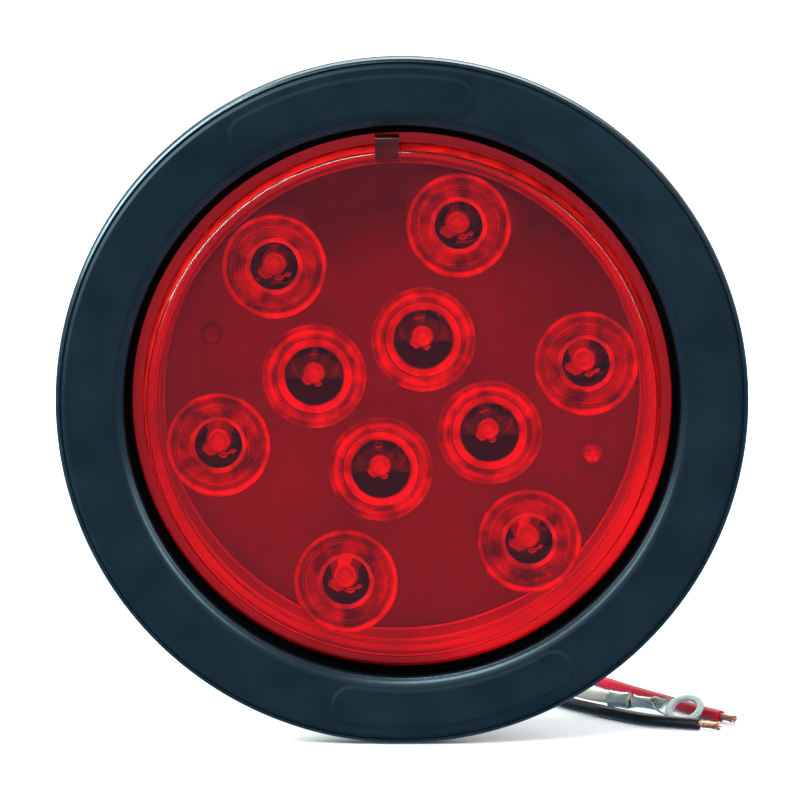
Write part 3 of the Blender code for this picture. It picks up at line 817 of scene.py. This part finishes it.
def make_leads():
    paths, leads, ends = {}, {}, {}
    for colour, (route, _, surface) in LEADS.items():
        paths[colour] = smooth_route(route, LEAD_STEP)
        leads[colour] = make_tubes(f"lead_{colour}", [paths[colour]], LEAD_R, surface)
        ready(leads[colour], "plug", f"{colour}_insulation", f"wire_{colour}")
    for colour, seed in STRAND_SEEDS.items():
        strands = make_strands(f"copper_strands_{colour}", paths[colour], seed)
        ends[colour] = [ready(strands, "plug", "bare_copper", f"strands_{colour}")]
    ends["white"] = make_ring_terminal()


# Bent strip of the terminal: (place along X, half width, radius of the bend, height of its lowest line)
TERMINAL_STRIP = (
    (-0.1, 4.6, 1.58, -1.66), (0.4, 4.45, 1.46, -1.55), (1.4, 4.4, 1.42, -1.5),
    (2.2, 4.35, 1.36, -1.42), (3.2, 4.4, 1.44, -1.52), (4.0, 4.45, 1.5, -1.58), (4.3, 1.6, 1.4, -1.5),
    (4.8, 1.5, 1.25, -1.35), (5.1, 3.5, 1.22, -1.28), (5.6, 3.05, 1.0, -1.1), (7.3, 2.95, 0.95, -1.04),
    (9.0, 3.05, 1.0, -1.1), (9.5, 3.2, 1.2, -1.14), (10.0, 2.3, 1.25, -1.1), (10.7, 1.9, 2.0, -1.0),
    (11.6, 1.95, 5.0, -0.8), (12.6, 2.3, 40.0, -0.7), (14.0, 2.8, 400.0, -0.7),
)
STRIP_T = 0.42
STRIP_SAMPLES = 28


def make_terminal_strip():
    """The crimps and neck: a strip bent to a radius that changes along its length."""
    shape = bmesh.new()
    loops = []
    for x, half, bend, low in TERMINAL_STRIP:
        outer, inner = [], []
        for k in range(STRIP_SAMPLES + 1):
            angle = (2 * k / STRIP_SAMPLES - 1) * half / bend
            side = Vector((0.0, math.sin(angle), -math.cos(angle)))
            hub = Vector((x, 0.0, low + bend))
            outer.append(shape.verts.new(hub + side * (bend + STRIP_T / 2)))
            inner.append(shape.verts.new(hub + side * (bend - STRIP_T / 2)))
        loops.append(outer + inner[::-1])
    count = len(loops[0])
    for first, second in zip(loops, loops[1:]):
        bridge(shape, first, second)
    for loop in (loops[0], loops[-1]):
        for k in range(STRIP_SAMPLES):
            shape.faces.new((loop[k], loop[k + 1], loop[count - 2 - k], loop[count - 1 - k]))
    return add_object("ring_terminal_crimped", mesh_of("ring_terminal_crimped", shape, 40.0), TIN)


def make_ring_terminal():
    place = Matrix.Translation(TERMINAL_START) @ Euler(TERMINAL_TURN).to_matrix().to_4x4()
    lie_flat = Matrix.Translation((RING_CENTRE_X, 0.0, RING_PLANE_Z)) @ Matrix.Rotation(math.pi / 2, 4, "X")
    half = RING_T / 2
    corners = [
        (RING_HOLE_R, -half, 0.12), (RING_R, -half, 0.25), (RING_R, half, 0.25),
        (RING_HOLE_R, half, 0.12),
    ]
    ring = turned("ring", corners, 72, closed=True)
    move(ring, lie_flat)
    terminal = make_terminal_strip()
    merge(terminal, [ring], sharp=40.0)
    along_x = Matrix.Rotation(-math.pi / 2, 4, "Z")
    stub_corners = [(0.0, -0.35), (LEAD_R - 0.02, -0.35), (LEAD_R - 0.02, 4.3, 0.1), (0.0, 4.3)]
    stub = turned("lead_white_end", stub_corners, 32, WHITE_VINYL)
    move(stub, along_x)
    chance = random.Random(3)
    runs = []
    for k in range(10):
        first = 2 * math.pi * k / 7
        radius = 0.0 if k == 0 else 0.32 + 0.22 * (k % 2)
        run = []
        for i in range(12):
            t = i / 11
            angle = first + 2.6 * t
            off = radius + 0.25 * chance.random() * max(0.0, t - 0.8)
            run.append(place @ Vector((4.0 + 5.6 * t, off * math.cos(angle), off * math.sin(angle) - 0.1)))
        runs.append(run)
    conductor = make_tubes("copper_strands_white", runs, 0.16, COPPER, 2)
    for made in (terminal, stub):
        move(made, place)
    ready(terminal, "plug", "tinned_copper", "ring_terminal")
    ready(stub, "plug", "white_insulation")
    ready(conductor, "plug", "bare_copper")
    return [terminal, stub, conductor]


# ---- grommet ----


def face_y(radius):
    """The flange's face, which slopes gently from the mouth to the rim."""
    return FLANGE_Y + FACE_SLOPE * (radius - FACE_END_R)


def off_angle(angle, other):
    return abs((angle - other + 180) % 360 - 180)


def pad_relief(angle, radius, y):
    """How far the two arched pads stand off the flange's face."""
    if not (y < FLANGE_Y + 1.0 and FACE_START_R <= radius <= FACE_END_R + 0.01):
        return 0.0
    height = 0.0
    for pad in PAD_ANGLES:
        off = off_angle(angle, pad)
        if off <= PAD_HALF_SPAN:
            away = abs(radius - PAD_R)
        else:
            turn = math.radians(off - PAD_HALF_SPAN)
            away = math.sqrt(radius**2 + PAD_R**2 - 2 * radius * PAD_R * math.cos(turn))
        t = min(max((PAD_HALF_WIDTH + PAD_EDGE / 2 - away) / PAD_EDGE, 0.0), 1.0)
        height = max(height, PAD_HEIGHT * t * t * (3 - 2 * t))
    return -height


def grommet_angles():
    """Turn angles, closer together where the pads' round ends are."""
    angles = []
    angle = 0.0
    while angle < 360.0 - 1e-6:
        angles.append(angle)
        near = min(off_angle(angle, pad) for pad in PAD_ANGLES)
        at_end = PAD_HALF_SPAN - 2.0 <= near <= PAD_HALF_SPAN + 5.0
        angle += 0.25 if at_end else 1.25
    return angles


def make_grommet():
    steps = 22
    face = []
    for k in range(steps + 1):
        radius = FACE_START_R + (FACE_END_R - FACE_START_R) * k / steps
        face.append((radius, face_y(radius)))
    corners = [
        (53.5, -0.95, 0.25), (54.2, -2.7, 0.15), (54.5, -2.8, 0.12), (55.3, -4.5, 0.3),
        (55.9, -4.75, 0.15), (56.9, -5.35, 0.2),
        *face,
        (66.7, FLANGE_Y - 0.05, 0.2), (67.3, -5.6, 0.15), (67.35, -4.9, 0.05), (67.6, -4.9, 0.05),
        (67.7, -5.35, 0.2), (68.3, -4.8, 0.4), (GROMMET_R, -3.6, 0.6), (GROMMET_R, -0.9, 0.7),
        (67.9, 0.0, 0.5), (57.0, 0.0, 0.4), (57.0, 3.4, 0.4), (60.4, 3.4, 0.3), (60.8, 4.4, 0.5),
        (60.2, 6.0, 0.8), (56.2, 16.0, 0.8), (55.2, GROMMET_BACK_Y, 0.4), (52.4, GROMMET_BACK_Y, 0.5),
        (51.0, 14.8, 0.4), (51.0, 7.4, 0.3), (54.9, 7.4, 0.2), (54.9, 0.0, 0.2), (53.5, 0.0, 0.2),
    ]
    shape = bmesh.new()
    turn_about_y(shape, filleted(corners, True), grommet_angles(), closed=True, relief=pad_relief)
    grommet = add_object("rubber_grommet", mesh_of("rubber_grommet", shape, 50.0), RUBBER)
    ready(grommet, "grommet", "rubber", "grommet")


# ---- lens ----


def ringed_optic():
    """The outer diodes' optic: a sloped rim, stepped rings and a domed middle, as (radius, y) corners."""
    corners = [(0.0, OPTIC_ROOT_Y), (OPTIC_R, OPTIC_ROOT_Y), (OPTIC_R, -4.9, 0.2), (10.1, -4.7), (9.45, -4.3)]
    corners += [(8.75, -3.8, 0.1), (8.3, -4.9, 0.05)]
    outer, inner, count = 8.2, 5.6, 5
    pitch = (outer - inner) / count
    for k in range(count):
        r = outer - k * pitch
        corners.append((r, -4.45, 0.05))
        corners.append((r - pitch + 0.08, -5.0))
    corners += [(RINGED_WINDOW_R + 0.8, -5.0, 0.1), (RINGED_WINDOW_R + 0.05, -4.1, 0.1)]
    for k in range(9):
        r = RINGED_WINDOW_R * (1 - k / 8)
        corners.append((r, -2.4 - 1.5 * (r / RINGED_WINDOW_R) ** 2))
    return corners


def smooth_optic():
    """The inner diodes' optic: two sloped rings with a groove between, and a clear domed middle."""
    corners = [
        (0.0, OPTIC_ROOT_Y), (OPTIC_R, OPTIC_ROOT_Y), (OPTIC_R, -4.7, 0.3), (9.4, -4.2, 0.1),
        (8.4, -5.1, 0.1), (7.7, -5.15, 0.1), (7.4, -4.7, 0.05), (SMOOTH_WINDOW_R + 0.1, -3.7, 0.15),
    ]
    for k in range(9):
        r = SMOOTH_WINDOW_R * (1 - k / 8)
        corners.append((r, -3.4 - 1.2 * (r / SMOOTH_WINDOW_R) ** 2))
    return corners


# BRIGHT and DIM are lighter and darker copies of the ringed acrylic: painted highlight and painted shade.
CLEAR, SOLID, RINGED, BRIGHT, DIM = range(5)  # the lens's materials
LENS_MATERIALS = (ACRYLIC, DARK_ACRYLIC, RINGED_ACRYLIC, PAINTED_HIGHLIGHT_ACRYLIC, PAINTED_SHADE_ACRYLIC)
# Which material each band of an optic has, as (outer radius, material). BRIGHT bands are painted highlights,
# DIM bands painted shade.
RINGED_BANDS = (
    (RINGED_WINDOW_R + 0.04, CLEAR), (8.25, RINGED), (8.75, DIM), (9.45, RINGED), (10.1, BRIGHT),
    (OPTIC_R + 1.0, RINGED),
)
SMOOTH_BANDS = (
    (SMOOTH_WINDOW_R + 0.04, CLEAR), (SMOOTH_WINDOW_R + 0.3, RINGED), (7.4, BRIGHT), (7.7, DIM),
    (8.5, RINGED), (9.2, BRIGHT), (OPTIC_R + 1.0, RINGED),
)


def make_lens():
    dome = []
    for r in (0.0, 8.0, 16.0, 24.0, 32.0, 40.0, 45.0, 48.2, LENS_FACE_R):
        dome.append((r, LENS_EDGE_Y - LENS_DOME * (1 - (r / LENS_FACE_R) ** 2)))
    corners = [
        *dome[:-1],
        (*dome[-1], 0.7), (LENS_STEP_R, LEDGE_Y, 0.4), (LAMP_R, LEDGE_Y, 0.35), (LAMP_R, WELD_Y, 0.1),
        (LENS_INNER_R + 0.6, WELD_Y, 0.1), (LENS_INNER_R, LENS_INNER_Y, 0.6), (0.0, LENS_INNER_Y),
    ]
    lens = turned("lens_moulding", corners, 256)
    # The side wall below the lens's raised face takes the painted highlight acrylic.
    for face in lens.data.polygons:
        on_wall = LENS_FACE_R + 0.15 < math.hypot(face.center.x, face.center.z) / MM < LENS_STEP_R + 0.15
        if on_wall and face.center.y / MM < LEDGE_Y - 0.05:
            face.material_index = BRIGHT
    tab_x, tab_z = polar(TAB_ANGLE, TAB_R)
    tab = block(
        "index_tab",
        (tab_x - TAB_WIDTH / 2, LENS_LOW.y + 0.4, tab_z - TAB_WIDTH + 0.5),
        (tab_x + TAB_WIDTH / 2, LEDGE_Y + 1.0, tab_z),
        0.25,
        0.2,
    )
    for face in tab.data.polygons:
        face.material_index = SOLID
    shape = bmesh.new()
    for node in LEDS:
        ringed = node in OUTER_LEDS
        outline, bands = (ringed_optic(), RINGED_BANDS) if ringed else (smooth_optic(), SMOOTH_BANDS)
        turn_about_y(shape, filleted(outline), full_turn(64), axis_of(node), bands=bands)
    optics = add_object("optics", mesh_of("optics", shape))
    for part in (lens, tab, optics):
        for surface in LENS_MATERIALS:
            part.data.materials.append(surface)
    merge(lens, [tab, optics])
    ready(lens, "lamp", "red_acrylic", "lens")


# ---- housing, board and what is on it ----


def make_rear_pockets():
    """Shallow pockets between the ribs on the housing's back, as one cutter."""
    shape = bmesh.new()
    inner_r, outer_r, rib_half = 24.0, 45.5, 1.0
    count, depth = 8, 0.7
    for k in range(count):
        start = 360 / count * k
        outline = []
        for radius, order in ((outer_r, 1), (inner_r, -1)):
            trim = math.degrees(rib_half / radius)
            angles = [start + trim + (360 / count - 2 * trim) * i / 12 for i in range(13)]
            outline += [polar(a, radius) for a in angles[::order]]
        front = [shape.verts.new((x, CUP_BACK_Y - depth, z)) for x, z in outline]
        back = [shape.verts.new((x, CUP_BACK_Y + 1.0, z)) for x, z in outline]
        shape.faces.new(front)
        shape.faces.new(back)
        bridge(shape, front, back)
    return add_object("rear_pockets", mesh_of("rear_pockets", shape))


def make_housing():
    ledge_y = BOARD_BACK_Y + GAP
    corners = [
        (0.0, CUP_FLOOR_Y), (CUP_LEDGE_R, CUP_FLOOR_Y, 0.8), (CUP_LEDGE_R, ledge_y, 0.2),
        (CUP_INNER_R, ledge_y, 0.1), (CUP_INNER_R, BOARD_Y - 0.4, 0.4),
        (LENS_INNER_R + 0.6, WELD_Y + GAP, 0.2), (LAMP_R, WELD_Y + GAP, 0.15),
        (LAMP_R, FLANGE_BACK_Y, 0.5), (CUP_R, FLANGE_BACK_Y, 0.3), (CUP_BACK_R, CUP_BACK_Y, 1.6),
        (0.0, CUP_BACK_Y),
    ]
    housing = turned("lamp_housing", corners, 192, HOUSING_PLASTIC)
    outer = SOCKET_WALL
    shell = block(
        "socket_shell",
        (-SOCKET_HALF_X - outer, SOCKET_FLOOR_Y - outer, -SOCKET_HALF_Z - outer),
        (SOCKET_HALF_X + outer, SOCKET_BACK_Y, SOCKET_HALF_Z + outer),
        4.2,
        0.3,
    )
    post = [(0.0, ledge_y), (3.2, ledge_y, 0.3), (3.2, CUP_FLOOR_Y + 0.8), (0.0, CUP_FLOOR_Y + 0.8)]
    merge(housing, [shell, *turned_at(SCREWS, post, 32)])
    cutters = [
        make_rear_pockets(),
        block(
            "socket_well",
            (-SOCKET_HALF_X, SOCKET_FLOOR_Y, -SOCKET_HALF_Z),
            (SOCKET_HALF_X, SOCKET_BACK_Y + 2.0, SOCKET_HALF_Z),
            2.6,
        ),
    ]
    cutters += turned_at(PINS, drill(PIN_R + GAP, *PIN_HOLES_Y))
    cutters += turned_at(SCREWS, drill(SCREW_HOLE_R, *SCREW_HOLES_Y))
    merge(housing, cutters, "DIFFERENCE")
    ready(housing, "lamp", "housing_plastic", "housing")


def make_board():
    corners = [(0.0, BOARD_Y), (BOARD_R, BOARD_Y, 0.15), (BOARD_R, BOARD_BACK_Y, 0.15), (0.0, BOARD_BACK_Y)]
    board = turned("led_board", corners, 192, LAMINATE)
    holes = turned_at(SCREWS, drill(SCREW_HOLE_R, BOARD_Y - 1.0, BOARD_BACK_Y + 1.0))
    merge(board, holes, "DIFFERENCE")
    ready(board, "lamp", "board_laminate", "circuit_board")


def make_screws():
    """Pan head screws with a cross recess and a thread of close ridges."""
    head_y = BOARD_Y - GAP
    corners = [(0.0, head_y - 1.5), (1.5, head_y - 1.35, 0.4), (2.2, head_y - 0.6, 0.3), (2.2, head_y, 0.1)]
    corners.append((1.2, head_y))
    for k in range(14):
        y = head_y + 0.9 + k * 0.5
        corners += [(1.0, y), (1.2, y + 0.25)]
    corners += [(1.0, head_y + 8.0), (0.0, head_y + 9.0)]
    for number, surface in ((1, DARKER_STEEL), (2, STEEL)):
        x, z = axis_of(f"board_screw_{number}")
        made = turned(f"cross_head_screw_{number}", corners, 36, surface, (x, z))
        slots = []
        for long_x, long_z in ((1.3, 0.28), (0.28, 1.3)):
            low = (x - long_x, head_y - 2.5, z - long_z)
            high = (x + long_x, head_y - 0.6, z + long_z)
            slots.append(block("slot", low, high))
        merge(made, slots, "DIFFERENCE")
        ready(made, "lamp", "screw_steel", f"board_screw_{number}")


def led_body_mesh():
    tip_y, base_y = LED_LOW.y, LED_HIGH.y
    dome_r, rim_r = 2.5, LED_HIGH.x - middle("led_01").x
    corners = [(0.0, tip_y)]
    for k in range(1, 10):
        turn = math.radians(10 * k)
        corners.append((dome_r * math.sin(turn), tip_y + dome_r * (1 - math.cos(turn))))
    corners += [(dome_r, base_y - 1.0), (rim_r, base_y - 1.0, 0.1), (rim_r, base_y, 0.15), (0.0, base_y)]
    shape = bmesh.new()
    turn_about_y(shape, filleted(corners), full_turn(48))
    return mesh_of("led_body", shape)


LEG_TURN = 228.0  # where the anvil's leg stands, as an angle about the diode's axis
LEG_R = 1.27
WIRE_R = 0.17


def led_frame_mesh(name, cup_r, tabs):
    """Reflector cup, chip, anvil, tabs and wire loop, with the two legs behind them, which take a near-black
    copy of the metal as painted shade.
    """
    shape = bmesh.new()
    cup_y = LED_LOW.y + 2.0
    back_y = LED_HIGH.y - 0.3
    cup = [(0.0, cup_y + 0.45), (0.5, cup_y + 0.45), (cup_r - 0.17, cup_y, 0.05)]
    cup += [(cup_r, cup_y + 0.05, 0.05), (cup_r - 0.05, cup_y + 0.6), (0.0, cup_y + 0.6)]
    turn_about_y(shape, filleted(cup), full_turn(32))
    add_block(shape, (-0.2, cup_y + 0.3, -0.2), (0.2, cup_y + 0.5, 0.2))
    add_block(shape, (0.8, cup_y + 0.15, -0.75), (2.25, cup_y + 0.6, 0.65), 0.3, turn=LEG_TURN)
    for turn, half in tabs:
        add_block(shape, (1.3, cup_y + 0.5, -half), (2.3, cup_y + 0.9, half), 0.1, turn=turn)
    wire = []
    for k in range(8):
        bend = math.pi * k / 4
        wire.append((0.45 + WIRE_R * math.cos(bend), cup_y + 0.3 + WIRE_R * math.sin(bend)))
    turn_about_y(shape, wire, full_turn(32), polar(290, 1.75), closed=True)
    bmesh.ops.translate(shape, vec=(-0.08, 0.0, -0.42), verts=shape.verts)
    frame_faces = len(shape.faces)
    for turn in (LEG_TURN, LEG_TURN - 180):
        add_block(shape, (0.3, cup_y + 0.55, -0.2), (LEG_R + 0.2, back_y, 0.2), 0.1, turn=turn)
        low, high = (LEG_R - 0.22, cup_y + 2.2, -0.22), (LEG_R + 0.22, BOARD_BACK_Y + 1.2, 0.22)
        add_block(shape, low, high, turn=turn)
    for face in list(shape.faces)[frame_faces:]:
        face.material_index = 1
    mesh = mesh_of(name, shape)
    mesh.materials.append(FRAME_METAL)
    mesh.materials.append(SHADED_LEG_METAL)
    return mesh


def make_leds():
    body_mesh = led_body_mesh()
    outer_mesh = led_frame_mesh("outer_diode_frame", 1.08, ((92.0, 0.18), (318.0, 0.3)))
    inner_mesh = led_frame_mesh("inner_diode_frame", 1.2, ())
    body_mesh.materials.append(EPOXY)
    for number, node in enumerate(LEDS, 1):
        place = middle(node)
        body = add_object(f"diode_lens_{number:02d}", body_mesh)
        metal = add_object(f"diode_frame_{number:02d}", outer_mesh if node in OUTER_LEDS else inner_mesh)
        for made in (body, metal):
            made.location = (place.x * MM, 0.0, place.z * MM)
        ready(body, "lamp", "led_epoxy", node)
        ready(metal, "lamp", "contact_brass")


PART_END = 3.4  # half the length of a resistor's or rectifier's body
LEG_BEND = 2.2  # how far past the body's end a leg bends to the board


def leg_mesh(name, leg_r, body_r, body_corners, surface):
    """A round component on its bent legs, in a frame with X along the body and -Y towards the board."""
    shape = bmesh.new()
    turn_about_y(shape, filleted(body_corners), full_turn(32))
    bmesh.ops.rotate(shape, cent=(0, 0, 0), matrix=Matrix.Rotation(-math.pi / 2, 3, "Z"), verts=shape.verts)
    body_faces = len(shape.faces)
    for side in (-1, 1):
        for start, end in leg_runs(body_r, side):
            run = Vector(end) - Vector(start)
            turn = run.to_track_quat("Z", "Y").to_matrix().to_4x4()
            place = Matrix.Translation((Vector(start) + Vector(end)) / 2) @ turn
            bmesh.ops.create_cone(
                shape,
                cap_ends=True,
                segments=12,
                radius1=leg_r,
                radius2=leg_r,
                depth=run.length + leg_r,
                matrix=place,
            )
    for face in list(shape.faces)[body_faces:]:
        face.material_index = 1
    mesh = mesh_of(name, shape)
    mesh.materials.append(surface)
    mesh.materials.append(TIN)
    return mesh


def leg_runs(body_r, side):
    """Straight runs of a leg that leaves a body along X and bends to the board."""
    bend_x = side * (PART_END + LEG_BEND)
    corners = [(side * (PART_END - 0.4), 0.0), (bend_x, 0.0, 0.7), (bend_x, -body_r - 0.6)]
    points = [(p.x, p.y, 0.0) for p in filleted(corners)]
    return list(zip(points, points[1:]))


def make_board_parts():
    half = [(1.28, 1.5, 0.4), (1.5, 1.9, 0.3), (1.5, 2.9, 0.4), (0.9, PART_END, 0.3), (0.0, PART_END)]
    resistor = [(r, -y, *fillet) for r, y, *fillet in half[::-1]] + half
    rectifier = [(0.0, -PART_END), (1.9, -PART_END, 0.35), (1.9, PART_END, 0.35), (0.0, PART_END)]
    resistor_mesh = leg_mesh("resistor_body", 0.3, 1.5, resistor, RESISTOR_COAT)
    rectifier_mesh = leg_mesh("rectifier_body", 0.4, 1.9, rectifier, RECTIFIER_EPOXY)
    parts = [(f"banded_resistor_{n}", resistor_mesh, "resistor_coat", f"resistor_{n}") for n in (1, 2, 3, 4)]
    for n in (1, 2):
        parts.append((f"blocking_rectifier_{n}", rectifier_mesh, "rectifier_epoxy", f"rectifier_{n}"))
    for name, mesh, slot, node in parts:
        made = add_object(name, mesh)
        made.location = middle(node) * MM
        ready(made, "lamp", slot, node)


def make_solder():
    """Solder cones on the board's back, one on each leg."""
    places = []
    for node in LEDS:
        led = middle(node)
        for turn in (LEG_TURN, LEG_TURN - 180):
            x, z = polar(turn, LEG_R)
            places.append((led.x + x, led.z + z))
    for node in [f"resistor_{n}" for n in (1, 2, 3, 4)] + ["rectifier_1", "rectifier_2"]:
        part = middle(node)
        places += [(part.x + side * (PART_END + LEG_BEND), part.z) for side in (-1, 1)]
    shape = bmesh.new()
    corners = [(0.0, BOARD_BACK_Y - 0.1), (1.1, BOARD_BACK_Y - 0.1), (1.1, BOARD_BACK_Y + 0.05, 0.05)]
    corners += [(0.5, BOARD_BACK_Y + 0.45, 0.5), (0.3, BOARD_BACK_Y + 1.0, 0.1), (0.0, BOARD_BACK_Y + 1.1)]
    for place in places:
        turn_about_y(shape, filleted(corners), full_turn(20), place)
    solder = add_object("solder_joints", mesh_of("solder_joints", shape), TIN)
    ready(solder, "lamp", "tinned_copper")


def make_contacts():
    start, seal_y = BOARD_BACK_Y + GAP, box_mm("contact_seal")[0].y
    tip_y = box_mm("contact_tail")[1].y
    corners = [
        (0.0, start), (PIN_R, start, 0.1), (PIN_R, seal_y - 2.0), (1.9, seal_y - 2.0, 0.15),
        (1.9, seal_y - GAP, 0.15), (PIN_R, seal_y - GAP), (PIN_R, tip_y - 1.2, 0.4), (0.75, tip_y, 0.4),
        (0.0, tip_y),
    ]
    for name, node in zip(PIN_NAMES, PINS):
        made = turned(f"contact_pin_{name}", corners, 36, BRASS, axis_of(node))
        ready(made, "lamp", "contact_brass", node)
    low, high = box_mm("contact_seal")
    seal = block("resin_seal", low, high, 3.0, 0.35, RESIN)
    merge(seal, turned_at(PINS, drill(PIN_R + 0.05, low.y - 1.0, high.y + 1.0)), "DIFFERENCE")
    ready(seal, "lamp", "sealing_resin", "contact_seal")


# ---- plug ----


def make_relief(name, x):
    """A tapered strain relief with grooves across it, hanging from the plug."""
    corners = [(0.0, 0.0), (2.75, 0.0)]
    for k in range(5):
        along = 4.2 + k * 1.45
        r = 2.7 - 0.8 * along / RELIEF_LENGTH
        corners += [(r, along, 0.12), (r - 0.4, along + 0.15, 0.1)]
        corners += [(r - 0.45, along + 0.6, 0.1), (r - 0.08, along + 0.75, 0.12)]
    corners += [(1.95, RELIEF_LENGTH, 0.35), (0.0, RELIEF_LENGTH)]
    relief = turned(name, corners, 40)
    hang = Matrix.Rotation(-math.pi / 2, 4, "X")
    move(relief, Matrix.Translation((x, RELIEF_Y, PLUG_LOW.z + RELIEF_LENGTH)) @ hang)
    return relief


def make_plug():
    head_y = SOCKET_BACK_Y + GAP
    low, high = (-PLUG_HALF_X, head_y, PLUG_FOOT_Z), (PLUG_HALF_X, PLUG_HIGH.y, PLUG_HIGH.z)
    plug = block("plug_moulding", low, high, 3.6, 1.0, PLUG_PLASTIC)
    nose = block(
        "plug_nose",
        (-SOCKET_HALF_X + GAP, PLUG_LOW.y, -SOCKET_HALF_Z + GAP),
        (SOCKET_HALF_X - GAP, head_y + 2.0, SOCKET_HALF_Z - GAP),
        2.5,
        0.25,
    )
    reliefs = [make_relief(f"relief_{k}", k * RELIEF_SPACING) for k in (-1, 0, 1)]
    merge(plug, [nose, *reliefs])
    cutters = []
    for k in range(5):
        z = 5.6 - k * 2.4
        low, high = (-11.0, PLUG_HIGH.y - 0.5, z - 0.5), (11.0, PLUG_HIGH.y + 2.0, z + 0.5)
        cutters.append(block(f"grip_{k}", low, high))
    for name in PIN_NAMES:
        node = f"terminal_{name}"
        low_y, high_y = PLUG_LOW.y - 1.0, box_mm(node)[1].y + GAP
        bore_r = SLEEVE_R + 0.25
        bore = [(0.0, low_y), (2.7, low_y), (bore_r, PLUG_LOW.y + 0.35), (bore_r, high_y), (0.0, high_y)]
        cutters += turned_at([node], bore, 36)
    merge(plug, cutters, "DIFFERENCE")
    ready(plug, "plug", "plug_plastic", "plug_body")
    for name in PIN_NAMES:
        low, high = box_mm(f"terminal_{name}")
        x, z = axis_of(f"terminal_{name}")
        corners = [
            (0.0, high.y - 0.8), (SLEEVE_BORE_R, high.y - 0.8, 0.1), (SLEEVE_BORE_R, low.y, 0.2),
            (SLEEVE_R, low.y, 0.25), (SLEEVE_R, low.y + 2.2), (SLEEVE_R - 0.15, low.y + 2.4),
            (SLEEVE_R - 0.15, low.y + 3.0), (SLEEVE_R, low.y + 3.2), (SLEEVE_R, high.y, 0.3),
            (0.0, high.y),
        ]
        sleeve = turned(f"socket_sleeve_{name}", corners, 36, BRASS, (x, z))
        slit = block("slit", (x - 0.25, low.y - 1.0, z + 1.0), (x + 0.25, low.y + 6.5, z + 3.0))
        merge(sleeve, [slit], "DIFFERENCE")
        ready(sleeve, "plug", "contact_brass", f"terminal_{name}")


make_camera()
make_leads()
make_floor()
make_studio()
make_grommet()
make_lens()
make_housing()
make_board()
make_screws()
make_leds()
make_board_parts()
make_solder()
make_contacts()
make_plug()
